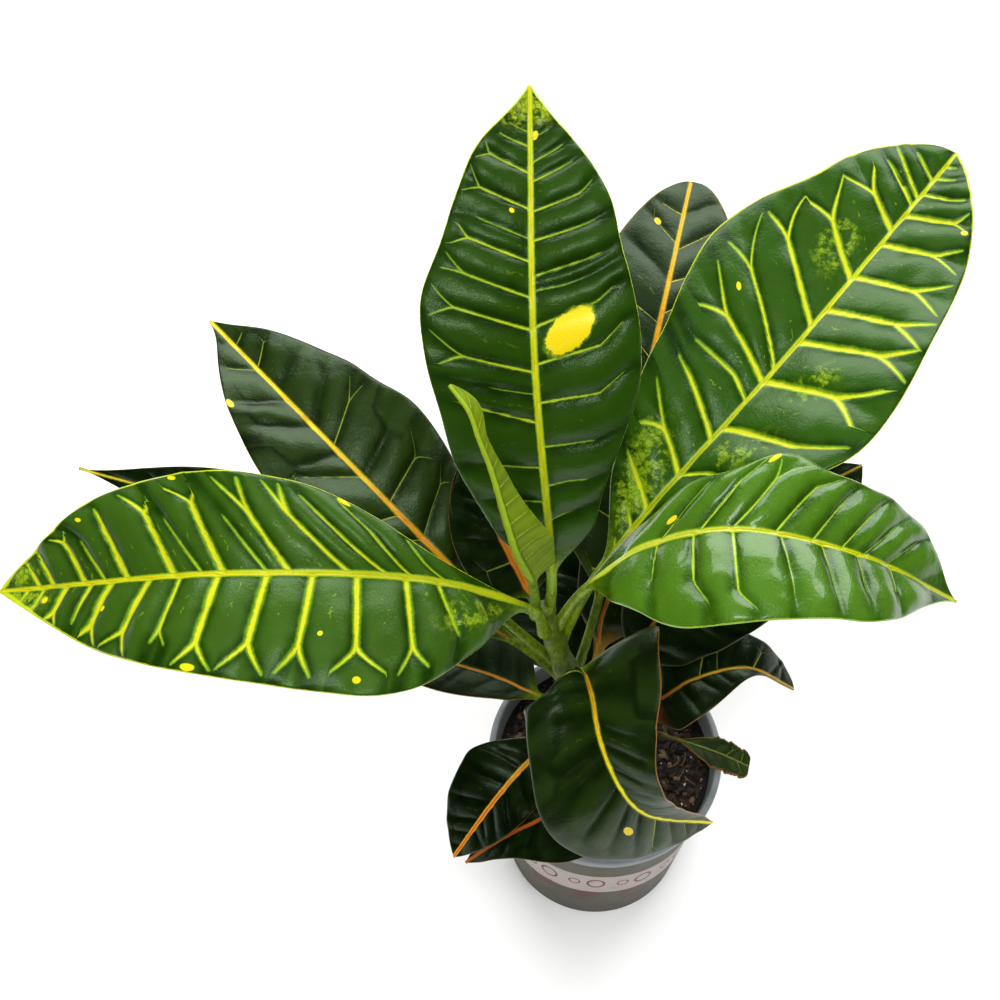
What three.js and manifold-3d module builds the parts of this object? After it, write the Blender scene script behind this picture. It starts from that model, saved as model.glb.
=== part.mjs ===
import * as THREE from 'three';
import { mergeVertices } from 'three/addons/utils/BufferGeometryUtils.js';
import Module from 'manifold-3d';

// Potted croton: a round nursery pot of potting mix, one leaning stem and its leaves.
// Millimetres, Z up, the pot's foot on Z = 0 and its axis on the Z axis.

const wasm = await Module();
wasm.setup();

// Pot
const POT_HEIGHT = 108;
const POT_RIM_RADIUS = 57;
const POT_NECK_RADIUS = 53.6;
const POT_FOOT_RADIUS = 45.4;
const POT_WALL = 1.6;
const POT_FLOOR = 2.4;
const POT_FOOT_EDGE = 1.1;
const COLLAR_HEIGHT = 11;
const COLLAR_LIP = 1.3;
const LIP_HEIGHT = 4;
const POT_SEGMENTS = 36;
const DRAIN_HOLES = 6;
const DRAIN_RADIUS = 4;
const DRAIN_CIRCLE = 32;
const DRAIN_SEGMENTS = 8;
const DRILL_LENGTH = 8;

// Potting mix
const SOIL_LEVEL = 97;
const SOIL_RINGS = 6;
const SOIL_CROWN = 2;
const SOIL_LUMP = 1.3;
const LUMP_LENGTH = 19;
const CRUMB_LENGTH = 7.5;
const CRUMB_SHARE = 0.6;
const CROWN_POWER = 4;

// Fit between touching pieces
const GAP = 0.3;

// Stem: the line of its axis from the buried foot to the tip, and its radius along it
const STEM_ROUTE = [
  [-5, 12, 62], [-8, 12, 97], [-20, 13, 160], [-30, 11, 210], [-35.5, 9, 241],
];
const STEM_RADIUS = [6.6, 6.4, 5.8, 4.8, 3.5];
const STEM_ROWS = 20;
const STEM_SIDES = 10;
const STEM_RING_SWELL = 0.35;
const STEM_RINGS_IN_LENGTH = 7;

// Leaf blades
const BLADE_THICKNESS = 0.8;
const TIP_HALF_WIDTH = 0.7;
const RIB_HALF_WIDTH = 1.7;
const RIB_DEPTH = 1.7;
const RIB_RISE = 0.35;
const RIB_SHARE = 0.3;
const RIB_TIP_SHARE = 0.3;
const STALK_ROWS = 3;
const STALK_FLARE = 0.3;
const SPINE_SAMPLES = 80;
const TANGENT_STEP = 0.01;
const LEAST_CURL = 0.001;
const FULL_QUILT_WIDTH = 20;
const FULL_WAVE_WIDTH = 15;
const WAVE_POWER = 2.5;
const QUILT_POWER = 0.6;
const FINE_COLUMNS = [0.36, 0.7, 1];
const PLAIN_COLUMNS = [0.55, 1];

// Colours with roughness
const POT_LOOK = { color: 0x8d8b86, roughness: 0.5 };
const SOIL_LOOK = { color: 0x2e1d14, roughness: 0.95 };
const STEM_LOOK = { color: 0x5f7d35, roughness: 0.6 };
const BRIGHT_LOOK = { color: 0x3f6b22, roughness: 0.35 };
const GLOSS_LOOK = { color: 0x568a35, roughness: 0.25 };
const DARK_LOOK = { color: 0x1c2a17, roughness: 0.35 };
const YOUNG_LOOK = { color: 0x86a832, roughness: 0.5 };
const OLIVE_LOOK = { color: 0x3f4a24, roughness: 0.5 };

// A leaf's shape, in millimetres and degrees, left and right as seen looking from its base to its tip
// with its upper face up. A list given for full, fold, curl or roll is spread evenly from base to tip.
// bladeFrom: the route's point where the blade begins; neck: share of the blade where the stalk spreads;
// facing: direction of the blade in plan, where it isn't that of the route; stalk: radius of the stalk;
// half: half widths; peak: where the blade is widest; full: how slender its ends are;
// roll: turn about the midrib; fold: rise of each half from flat; curl: further bend out to its margin;
// veins: number of side veins; sweep: how far they lean to the tip; quilt: bulge of the blade between them;
// wave, waves: rise and fall of the margin, and how often;
// trimLeft, trimRight: shares of those widths, evenly from base to tip, that bring out a margin's own line;
// columns: where the blade is divided between midrib and margin.
const LEAF_SHAPE = {
  bladeFrom: 1, neck: 0.1, half: [40, 40], peak: [0.47, 0.47], fullLeft: 0.8, fullRight: 0.8,
  roll: 0, foldLeft: 12, foldRight: 12, curlLeft: -10, curlRight: -10,
  veins: 13, quilt: 1.2, sweep: 0.1, wave: 0, waves: 2, trimLeft: [1, 1], trimRight: [1, 1],
  stalk: 2.2, columns: FINE_COLUMNS,
};

// Leaves: the route runs from inside the stem along the stalk, then along the midrib to the tip.
const LEAVES = [
  {
    name: 'leaf_upright', look: BRIGHT_LOOK,
    route: [[-33, 12, 232], [-33, 13.2, 262], [-44.8, 67.6, 350.6], [-50.3, 161, 400]],
    half: [46, 43], foldLeft: 8, foldRight: 8, wave: 1.2,
    trimLeft: [1.1, 0.9, 0.85, 0.87, 0.87, 0.95, 1.02, 0.96, 1.01, 1.1, 0.7],
    trimRight: [1, 0.85, 0.77, 0.85, 0.97, 1, 1, 1.01, 1.13, 1.06, 0.66],
  },
  {
    name: 'leaf_upper_right', look: BRIGHT_LOOK,
    route: [[-28, 12, 196], [-10.8, 27.4, 244.6], [67.7, 112.1, 290.6], [144.3, 209.8, 312.6]],
    half: [55, 55], peak: [0.55, 0.5], fullLeft: 0.6, foldRight: [34, 14], wave: 2.5, waves: 2.5,
    trimLeft: [0.84, 0.86, 0.9, 0.96, 0.97, 1.06, 1.14, 1.11, 0.99, 1.13, 1.29],
    trimRight: [0.9, 1.02, 1.02, 1.03, 1.11, 1.06, 1, 0.99, 1.06, 1.16, 1.22],
  },
  {
    name: 'leaf_right', look: GLOSS_LOOK,
    route: [
      [-30, 10.5, 218], [-18.7, 14.7, 247.5], [5.8, 20.1, 278.1], [39.5, 18.1, 298.8],
      [89.8, 14.8, 288.5], [140.4, 14.8, 249.9],
    ],
    half: [38, 44], peak: [0.55, 0.45], roll: -4, foldLeft: [-16, 12, 12], wave: 1.5,
    trimLeft: [0.76, 0.85, 0.71, 0.83, 0.75, 0.94, 0.84, 0.92, 1.1, 1.16, 0.35],
    trimRight: [0.6, 0.87, 1.01, 1.06, 1, 0.92, 0.89, 0.91, 0.83, 0.57, 0.3],
  },
  {
    name: 'leaf_left', look: BRIGHT_LOOK,
    route: [
      [-34.5, 5, 226], [-41.1, 1, 254], [-82.5, -2.3, 283.2], [-158.5, -8.6, 295.6], [-266.4, 2.4, 250.3],
    ],
    half: [47, 43], peak: [0.47, 0.6], roll: 10, wave: 2, waves: 3,
    trimLeft: [0.7, 1.02, 1.25, 1.23, 1.09, 0.99, 0.96, 0.94, 0.92, 0.83, 0.71],
    trimRight: [0.08, 0.33, 0.52, 0.85, 1, 1, 1, 1.04, 1.1, 1.05, 1.13],
  },
  {
    name: 'leaf_rolled', look: YOUNG_LOOK,
    route: [
      [-38.5, 8.5, 235], [-41, 9, 263], [-49, 7, 296], [-55, 14, 318], [-60, 21, 335],
      [-65, 26, 349], [-69, 32, 358], [-77, 42, 361],
    ],
    facing: -60, half: [15, 7], peak: [0.28, 0.28],
    fullLeft: [0.5, 1.6, 1, 0.6], fullRight: [0.6, 1.2, 0.8],
    foldLeft: 5, foldRight: 95, curlLeft: -10, curlRight: 0,
    sweep: -0.08, veins: 9, quilt: 0.5, stalk: 2, columns: PLAIN_COLUMNS,
    trimLeft: [1, 1.05, 1.08, 1, 0.86, 0.7, 0.58, 0.5, 0.6, 1.1, 1.2],
  },
  {
    name: 'leaf_dark_left', look: DARK_LOOK,
    route: [[-22, 12, 172], [-55.6, 21.7, 210.4], [-129.5, 76.5, 254.7], [-190.4, 136.2, 265.1]],
    half: [38, 36], peak: [0.5, 0.5], veins: 10, wave: 1.5, waves: 2.5, columns: PLAIN_COLUMNS,
    trimLeft: [0.74, 0.94, 0.96, 0.94, 0.93, 0.92, 0.93, 0.9, 0.89, 0.72, 0.26],
    trimRight: [0.76, 0.99, 1.03, 1.11, 1.15, 1.14, 1.04, 1.06, 1.07, 1.02, 0.65],
  },
  {
    name: 'leaf_dark_back', look: DARK_LOOK,
    route: [[-19, 14, 150], [-9, 40, 190], [14, 150, 245], [31, 238, 253]],
    half: [37, 34], peak: [0.55, 0.6], fullLeft: [0.4, 0.6], fullRight: [0.8, 0.45],
    wave: 1.2, veins: 10, columns: PLAIN_COLUMNS,
  },
  {
    name: 'leaf_dark_inner', look: DARK_LOOK,
    route: [[-25, 12, 188], [-40, 27, 216], [-60, 53, 248], [-68, 84, 268]],
    half: [22, 26], peak: [0.4, 0.45], fullLeft: [0.5, 1], fullRight: [0.4, 0.8],
    veins: 7, columns: PLAIN_COLUMNS,
  },
  {
    name: 'leaf_dark_far_left', look: DARK_LOOK,
    route: [[-18, 12, 154], [-46, 25, 174], [-150, 63, 203], [-260, 107, 180]],
    half: [22, 21], peak: [0.42, 0.4], fullLeft: [0.9, 1.3], fullRight: [0.9, 1.3],
    roll: 30, veins: 9, columns: PLAIN_COLUMNS,
    trimRight: [1, 1, 1, 1, 1, 1, 1.1, 1.25, 1.4, 1.5, 1.5],
  },
  {
    name: 'leaf_dark_under_left', look: DARK_LOOK,
    route: [[-17, 12, 136], [-34, 5, 158], [-55, 12, 163], [-95, 24, 160], [-135, 36, 148]],
    half: [16, 22], peak: [0.45, 0.4], fullRight: [0.4, 0.8], veins: 8, columns: PLAIN_COLUMNS,
  },
  {
    name: 'leaf_front', look: DARK_LOOK,
    route: [
      [-21, 12, 162], [-18, 6, 178], [-16, 3, 191], [-12, -11, 197], [-8, -29, 191],
      [2, -45, 175], [14, -50, 158], [49, -41, 125],
    ],
    bladeFrom: 2, neck: 0.05, facing: -40, half: [45, 38], peak: [0.03, 0.45],
    fullLeft: [1.8, 1.05, 0.8, 0.8], fullRight: [0.3, 0.9],
    roll: -8, foldLeft: [22, 52, 58, 45, 20], foldRight: 5, curlLeft: -25, curlRight: -40, veins: 12,
    trimRight: [0.6, 1.05, 0.95, 0.95, 1, 1, 0.88, 0.78, 0.8, 0.8, 0.8],
  },
  {
    name: 'leaf_low_left', look: DARK_LOOK,
    route: [
      [-14, 12, 125], [-24.8, -8, 135], [-38, -19.6, 138.2], [-51.9, -35.1, 132.3], [-71.6, -55.5, 105.7],
    ],
    half: [18, 24], peak: [0.42, 0.42], fullRight: [0.5, 0.9], veins: 8, quilt: 0.8, columns: PLAIN_COLUMNS,
    trimRight: [0.21, 0.45, 0.63, 0.86, 1.02, 1.01, 1.02, 1.09, 1.16, 1.25, 1.35],
  },
  {
    name: 'leaf_low_left_under', look: DARK_LOOK,
    route: [
      [-12, 11, 112], [-5, -24, 137], [-26.9, -42.8, 134], [-47.7, -51.7, 124.4], [-65.8, -58.1, 105.9],
    ],
    half: [20, 9.5], peak: [0.45, 0.45], veins: 7, quilt: 0.6, columns: PLAIN_COLUMNS,
    trimLeft: [0.63, 1.03, 1.3, 1.45, 1.27, 1.01, 0.78, 0.64, 0.55, 0.56, 0.52],
  },
  {
    name: 'leaf_low_right', look: DARK_LOOK,
    route: [[-14, 12, 128], [19, 12, 150], [23, 9, 152], [36, 14, 162], [61, 20, 166], [87, 20, 145]],
    half: [23, 21], peak: [0.45, 0.18], fullLeft: [0.3, 0.6], fullRight: [0.5, 3],
    veins: 8, quilt: 0.6, columns: PLAIN_COLUMNS,
    trimLeft: [1, 1, 1, 1, 0.95, 0.88, 0.82, 0.82, 0.88, 0.95, 1],
  },
  {
    name: 'leaf_dark_right', look: DARK_LOOK,
    route: [[-17, 13, 142], [5, 22, 161], [24, 42, 185], [56, 68, 212], [109, 94, 230]],
    half: [26, 41], peak: [0.45, 0.52], fullRight: [0.5, 0.8], roll: -10, veins: 9, columns: PLAIN_COLUMNS,
    trimRight: [1, 1, 1, 1, 1, 1, 1.05, 1.1, 1.15, 1.2, 1.2],
  },
  {
    name: 'leaf_dark_behind', look: DARK_LOOK,
    route: [[-14, 13, 130], [-6, 34, 150], [-5, 46, 168], [30, 113, 192], [62, 182, 190]],
    half: [29, 30], peak: [0.5, 0.4], fullRight: [0.45, 0.8],
    foldRight: -2, wave: 1.2, veins: 9, columns: PLAIN_COLUMNS,
  },
  {
    name: 'leaf_dark_low_back', look: DARK_LOOK,
    route: [[-12, 13, 116], [-8, 24, 128], [-8, 72, 152], [-12, 132, 156]],
    half: [33, 33], peak: [0.4, 0.4], fullLeft: [0.4, 0.8], fullRight: [0.4, 0.8],
    veins: 7, columns: PLAIN_COLUMNS,
    trimLeft: [1.2, 1.5, 1.62, 1.6, 1.5, 1.35, 1.2, 1.1, 1, 1, 1],
  },
  {
    name: 'leaf_torn', look: OLIVE_LOOK,
    route: [[-10, 12, 106], [26, 5.2, 119], [39.5, -0.4, 123], [53.6, -4.7, 122], [68.8, -7.6, 114]],
    half: [9, 10.5], peak: [0.72, 0.72], fullLeft: [1.2, 0.25], fullRight: [1.2, 0.25],
    veins: 6, quilt: 0.4, stalk: 1.6, columns: PLAIN_COLUMNS,
  },
];

// Solid of a closed mesh given as flat lists of coordinates and of corner numbers
function toSolid(coordinates, corners) {
  return new wasm.Manifold(new wasm.Mesh({
    numProp: 3,
    vertProperties: new Float32Array(coordinates),
    triVerts: new Uint32Array(corners),
  }));
}

function pointSolid(points, triangles) {
  return toSolid(points.flatMap((p) => [p.x, p.y, p.z]), triangles.flat());
}

function toMesh(name, solid, look) {
  const { vertProperties, triVerts } = solid.getMesh();
  const geometry = new THREE.BufferGeometry();
  geometry.setAttribute('position', new THREE.BufferAttribute(new Float32Array(vertProperties), 3));
  geometry.setIndex(new THREE.BufferAttribute(new Uint32Array(triVerts), 1));
  geometry.computeVertexNormals();
  const mesh = new THREE.Mesh(geometry, new THREE.MeshStandardMaterial({ ...look, metalness: 0 }));
  mesh.name = name;
  return mesh;
}

// Closed skin over rings of equally many points, each ring counter-clockwise seen from the last one
function skin(rings) {
  const count = rings[0].length;
  const triangles = [];
  for (let row = 0; row + 1 < rings.length; row += 1) {
    for (let k = 0; k < count; k += 1) {
      const a = row * count + k;
      const b = row * count + ((k + 1) % count);
      triangles.push([a, b, b + count], [a, b + count, a + count]);
    }
  }
  const points = rings.flat();
  const last = (rings.length - 1) * count;
  for (let k = 1; k + 1 < count; k += 1) {
    triangles.push([0, k + 1, k], [last, last + k, last + k + 1]);
  }
  return pointSolid(points, triangles);
}

// Solid of a closed three.js geometry
function geometrySolid(geometry) {
  geometry.deleteAttribute('normal');
  geometry.deleteAttribute('uv');
  const merged = mergeVertices(geometry);
  return toSolid(merged.getAttribute('position').array, merged.getIndex().array);
}

// Body of revolution about Z: outline given as [radius, height], up the outside and down the inside
function revolve(outline, segments) {
  const points = outline.map(([radius, height]) => new THREE.Vector2(radius, height));
  return geometrySolid(new THREE.LatheGeometry(points, segments).rotateX(Math.PI / 2));
}

// Value along a blade: a number, or a list spread evenly from base to tip
function along(value, t) {
  if (!Array.isArray(value)) return value;
  const spans = value.length - 1;
  const k = Math.min(Math.floor(t * spans), spans - 1);
  return THREE.MathUtils.lerp(value[k], value[k + 1], THREE.MathUtils.smoothstep(t * spans - k, 0, 1));
}

// Stem
function stemSolid(extra) {
  const curve = new THREE.CatmullRomCurve3(STEM_ROUTE.map((p) => new THREE.Vector3(...p)));
  const rings = [];
  for (let row = 0; row <= STEM_ROWS; row += 1) {
    const t = row / STEM_ROWS;
    const centre = curve.getPoint(t);
    const tangent = curve.getTangent(t);
    const side = new THREE.Vector3(1, 0, 0).addScaledVector(tangent, -tangent.x).normalize();
    const across = new THREE.Vector3().crossVectors(tangent, side);
    const swell = STEM_RING_SWELL * Math.cos(2 * Math.PI * STEM_RINGS_IN_LENGTH * t);
    const radius = along(STEM_RADIUS, t) + swell + extra;
    if (extra > 0 && row === 0) centre.addScaledVector(tangent, -extra);
    if (extra > 0 && row === STEM_ROWS) centre.addScaledVector(tangent, extra);
    const ring = [];
    for (let k = 0; k < STEM_SIDES; k += 1) {
      const angle = (2 * Math.PI * k) / STEM_SIDES;
      ring.push(centre.clone()
        .addScaledVector(side, radius * Math.cos(angle))
        .addScaledVector(across, radius * Math.sin(angle)));
    }
    rings.push(ring);
  }
  return skin(rings);
}

// Pot
function innerRadius(height) {
  const share = height / (POT_HEIGHT - COLLAR_HEIGHT);
  return THREE.MathUtils.lerp(POT_FOOT_RADIUS, POT_NECK_RADIUS, share) - POT_WALL;
}

function potSolid() {
  const collarFoot = POT_HEIGHT - COLLAR_HEIGHT;
  const collarRadius = POT_RIM_RADIUS - COLLAR_LIP;
  const inTop = collarRadius - POT_WALL - COLLAR_LIP / 2;
  let pot = revolve([
    [0, 0],
    [POT_FOOT_RADIUS - POT_FOOT_EDGE, 0],
    [POT_FOOT_RADIUS, POT_FOOT_EDGE],
    [POT_NECK_RADIUS, collarFoot],
    [collarRadius, collarFoot + COLLAR_LIP],
    [collarRadius, POT_HEIGHT - LIP_HEIGHT],
    [POT_RIM_RADIUS, POT_HEIGHT - LIP_HEIGHT + COLLAR_LIP / 2],
    [POT_RIM_RADIUS, POT_HEIGHT - COLLAR_LIP],
    [POT_RIM_RADIUS - COLLAR_LIP, POT_HEIGHT],
    [inTop + COLLAR_LIP / 2, POT_HEIGHT],
    [inTop, POT_HEIGHT - COLLAR_LIP],
    [innerRadius(collarFoot), collarFoot],
    [innerRadius(POT_FLOOR), POT_FLOOR],
    [0, POT_FLOOR],
  ], POT_SEGMENTS);
  for (let k = 0; k < DRAIN_HOLES; k += 1) {
    const angle = (2 * Math.PI * k) / DRAIN_HOLES;
    const drill = new THREE.CylinderGeometry(DRAIN_RADIUS, DRAIN_RADIUS, DRILL_LENGTH, DRAIN_SEGMENTS)
      .rotateX(Math.PI / 2)
      .translate(DRAIN_CIRCLE * Math.cos(angle), DRAIN_CIRCLE * Math.sin(angle), 0);
    pot = pot.subtract(geometrySolid(drill));
  }
  return pot;
}

// Potting mix: a plug under the rim with a lumpy crown and a plain hole for the stem
function ripples(x, y, length) {
  const across = (2 * Math.PI * x) / length;
  const deep = (2 * Math.PI * y) / length;
  return Math.sin(across + Math.sin(deep / 2)) * Math.cos(deep + Math.sin(across / 3));
}

function soilHeight(x, y, rim) {
  const relief = ripples(x, y, LUMP_LENGTH) + CRUMB_SHARE * ripples(y, x, CRUMB_LENGTH);
  return SOIL_LEVEL + (SOIL_CROWN + SOIL_LUMP * relief) * (1 - rim ** CROWN_POWER);
}

function soilSolid(stemHole) {
  const foot = POT_FLOOR + GAP;
  const footRadius = innerRadius(foot) - GAP;
  const topRadius = innerRadius(SOIL_LEVEL) - GAP;
  const points = [new THREE.Vector3(0, 0, foot)];
  const rows = [[footRadius, 0]];
  for (let ring = SOIL_RINGS; ring > 0; ring -= 1) {
    rows.push([topRadius * (ring / SOIL_RINGS), ring / SOIL_RINGS]);
  }
  const triangles = [];
  rows.forEach(([radius, rim], row) => {
    for (let k = 0; k < POT_SEGMENTS; k += 1) {
      const angle = (2 * Math.PI * k) / POT_SEGMENTS;
      const x = radius * Math.cos(angle);
      const y = radius * Math.sin(angle);
      points.push(new THREE.Vector3(x, y, row === 0 ? foot : soilHeight(x, y, rim)));
      const next = (k + 1) % POT_SEGMENTS;
      const a = 1 + row * POT_SEGMENTS + k;
      const b = 1 + row * POT_SEGMENTS + next;
      if (row === 0) triangles.push([0, b, a]);
      if (row < rows.length - 1) {
        triangles.push([a, b, b + POT_SEGMENTS], [a, b + POT_SEGMENTS, a + POT_SEGMENTS]);
      } else {
        triangles.push([a, b, 1 + rows.length * POT_SEGMENTS]);
      }
    }
  });
  points.push(new THREE.Vector3(0, 0, soilHeight(0, 0, 0)));
  return pointSolid(points, triangles).subtract(stemHole);
}

// Leaf
function leafFrame(sideways, tangent, roll) {
  const side = sideways.clone().addScaledVector(tangent, -sideways.dot(tangent)).normalize();
  const up = new THREE.Vector3().crossVectors(side, tangent);
  const turned = side.clone().multiplyScalar(Math.cos(roll)).addScaledVector(up, Math.sin(roll));
  up.multiplyScalar(Math.cos(roll)).addScaledVector(side, -Math.sin(roll));
  return { side: turned, up };
}

function leafSolid(leaf) {
  const curve = new THREE.CatmullRomCurve3(leaf.route.map((p) => new THREE.Vector3(...p)));
  const start = leaf.bladeFrom / (leaf.route.length - 1);
  const samples = [];
  const lengths = [0];
  for (let i = 0; i <= SPINE_SAMPLES; i += 1) {
    samples.push(curve.getPoint(start + ((1 - start) * i) / SPINE_SAMPLES));
    if (i > 0) lengths.push(lengths[i - 1] + samples[i].distanceTo(samples[i - 1]));
  }
  const spine = (t) => {
    const wanted = THREE.MathUtils.clamp(t, 0, 1) * lengths[SPINE_SAMPLES];
    const k = Math.max(lengths.findIndex((value) => value >= wanted), 1);
    const share = (wanted - lengths[k - 1]) / (lengths[k] - lengths[k - 1]);
    return samples[k - 1].clone().lerp(samples[k], share);
  };
  const reach = samples[SPINE_SAMPLES].clone().sub(samples[0]);
  const heading = Math.atan2(reach.y, reach.x);
  const facing = leaf.facing === undefined ? heading : THREE.MathUtils.degToRad(leaf.facing);
  const sideways = new THREE.Vector3(Math.sin(facing), -Math.cos(facing), 0);

  // Half width at a place on the blade, never less than the tip's
  const trims = [leaf.trimLeft, leaf.trimRight].map((shares) => (
    new THREE.SplineCurve(shares.map((share, k) => new THREE.Vector2(k, share)))
  ));
  const halfWidth = (t, left) => {
    const half = left ? 0 : 1;
    const bend = Math.log(0.5) / Math.log(leaf.peak[half]);
    const swell = Math.max(Math.sin(Math.PI * THREE.MathUtils.clamp(t, 0, 1) ** bend), 0);
    const full = along(left ? leaf.fullLeft : leaf.fullRight, t);
    const trim = trims[half].getPoint(t).y;
    return Math.max(leaf.half[half] * swell ** full * trim, TIP_HALF_WIDTH);
  };

  // Point of the blade at vein step tau, at share u from the midrib (0) to the margin (-1 or 1),
  // lifted from the middle surface along its normal
  const bladePoint = (tau, u, lift) => {
    const left = u < 0;
    const away = Math.abs(u);
    const t = THREE.MathUtils.clamp(tau + leaf.sweep * 4 * tau * (1 - tau) * away, 0, 1);
    const tangent = spine(t + TANGENT_STEP).sub(spine(t - TANGENT_STEP)).normalize();
    const { side, up } = leafFrame(sideways, tangent, THREE.MathUtils.degToRad(along(leaf.roll, t)));
    const width = halfWidth(t, left);
    const fold = THREE.MathUtils.degToRad(along(left ? leaf.foldLeft : leaf.foldRight, t));
    const curl = THREE.MathUtils.degToRad(along(left ? leaf.curlLeft : leaf.curlRight, t) + LEAST_CURL);
    const bend = curl / leaf.half[left ? 0 : 1];
    const arc = away * width;
    const angle = fold + bend * arc;
    const out = (Math.sin(angle) - Math.sin(fold)) / bend;
    const rise = (Math.cos(fold) - Math.cos(angle)) / bend;
    const sign = left ? -1 : 1;
    const normal = up.clone().multiplyScalar(Math.cos(angle)).addScaledVector(side, -sign * Math.sin(angle));
    const between = Math.sin(Math.PI * ((leaf.veins * tau) % 1));
    const pillow = Math.max(Math.sin(Math.PI * away), 0) ** QUILT_POWER;
    const bulge = pillow * Math.min(1, width / FULL_QUILT_WIDTH);
    const turn = leaf.waves * tau + (left ? 0.5 : 0);
    const flare = away ** WAVE_POWER * Math.min(1, width / FULL_WAVE_WIDTH);
    const ripple = Math.sin(2 * Math.PI * turn) * flare;
    return spine(t)
      .addScaledVector(side, sign * out)
      .addScaledVector(up, rise)
      .addScaledVector(normal, leaf.quilt * between * bulge + leaf.wave * ripple + lift);
  };

  // Round section of the stalk: point k of its upper or its lower half
  const columnCount = 2 * leaf.columns.length + 3;
  const middle = leaf.columns.length + 1;
  const stalkPoint = (centre, frame, radius, k, upper) => {
    const angle = Math.PI - (upper ? 1 : -1) * Math.PI * ((k + 0.5) / columnCount);
    return centre.clone()
      .addScaledVector(frame.side, radius * Math.cos(angle))
      .addScaledVector(frame.up, radius * Math.sin(angle));
  };

  const rings = [];
  const baseRoll = THREE.MathUtils.degToRad(along(leaf.roll, 0));
  for (let row = 0; row < STALK_ROWS; row += 1) {
    const t = (start * row) / STALK_ROWS;
    const frame = leafFrame(sideways, curve.getTangent(t), baseRoll);
    const radius = leaf.stalk * (1 + STALK_FLARE * (1 - row / STALK_ROWS) ** 2);
    const centre = curve.getPoint(t);
    const upper = [];
    const lower = [];
    for (let k = 0; k < columnCount; k += 1) {
      upper.push(stalkPoint(centre, frame, radius, k, true));
      lower.push(stalkPoint(centre, frame, radius, k, false));
    }
    rings.push({ upper, lower });
  }
  const steps = 2 * leaf.veins;
  for (let step = 0; step <= steps; step += 1) {
    const tau = step / steps;
    const blend = 1 - THREE.MathUtils.smoothstep(tau, 0, leaf.neck);
    const tangent = spine(tau + TANGENT_STEP).sub(spine(tau - TANGENT_STEP)).normalize();
    const frame = leafFrame(sideways, tangent, THREE.MathUtils.degToRad(along(leaf.roll, tau)));
    const thin = THREE.MathUtils.lerp(1, RIB_TIP_SHARE, tau);
    const upper = [];
    const lower = [];
    const share = (left) => Math.min((RIB_HALF_WIDTH * thin) / halfWidth(tau, left), RIB_SHARE);
    const outward = (left) => leaf.columns.map((c) => share(left) + (1 - share(left)) * c);
    const columns = [
      ...outward(true).reverse().map((u) => -u), -share(true), 0, share(false), ...outward(false),
    ];
    columns.forEach((u, k) => {
      const rise = k === middle ? RIB_RISE * thin : 0;
      const depth = k === middle ? RIB_DEPTH * thin : 0;
      const top = bladePoint(tau, u, BLADE_THICKNESS / 2 + rise);
      const bottom = bladePoint(tau, u, -BLADE_THICKNESS / 2 - depth);
      upper.push(top.lerp(stalkPoint(spine(tau), frame, leaf.stalk, k, true), blend));
      lower.push(bottom.lerp(stalkPoint(spine(tau), frame, leaf.stalk, k, false), blend));
    });
    rings.push({ upper, lower });
  }

  // Both faces are split alike, so that the blade keeps its thickness where it waves
  const points = rings.flatMap(({ upper, lower }) => [...upper, ...lower]);
  const at = (row, k, face) => row * 2 * columnCount + face * columnCount + k;
  const triangles = [];
  for (let row = 0; row + 1 < rings.length; row += 1) {
    for (let k = 0; k + 1 < columnCount; k += 1) {
      for (const face of [0, 1]) {
        const [a, b] = [at(row, k, face), at(row, k + 1, face)];
        const [c, d] = [at(row + 1, k + 1, face), at(row + 1, k, face)];
        const pair = k < middle ? [[a, b, d], [b, c, d]] : [[a, b, c], [a, c, d]];
        pair.forEach((triangle) => triangles.push(face === 0 ? triangle : triangle.reverse()));
      }
    }
    for (const [k, flip] of [[0, false], [columnCount - 1, true]]) {
      const [a, b, c, d] = [at(row, k, 0), at(row + 1, k, 0), at(row + 1, k, 1), at(row, k, 1)];
      const pair = [[a, b, c], [a, c, d]];
      pair.forEach((triangle) => triangles.push(flip ? triangle.reverse() : triangle));
    }
  }
  for (const [row, flip] of [[0, false], [rings.length - 1, true]]) {
    for (let k = 0; k + 1 < columnCount; k += 1) {
      const pair = [
        [at(row, k, 0), at(row, k, 1), at(row, k + 1, 1)],
        [at(row, k, 0), at(row, k + 1, 1), at(row, k + 1, 0)],
      ];
      pair.forEach((triangle) => triangles.push(flip ? triangle.reverse() : triangle));
    }
  }
  return pointSolid(points, triangles);
}

const stem = stemSolid(0);
const stemHole = stemSolid(GAP);
const plant = new THREE.Group();
plant.name = 'potted_croton';
plant.add(toMesh('pot', potSolid(), POT_LOOK));
plant.add(toMesh('soil', soilSolid(stemHole), SOIL_LOOK));
plant.add(toMesh('stem', stem, STEM_LOOK));
for (const leaf of LEAVES) {
  plant.add(toMesh(leaf.name, leafSolid({ ...LEAF_SHAPE, ...leaf }).subtract(stemHole), leaf.look));
}

export default plant;
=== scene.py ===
import math
import random

import bpy
import numpy as np
from mathutils import Matrix, Vector, noise


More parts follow.
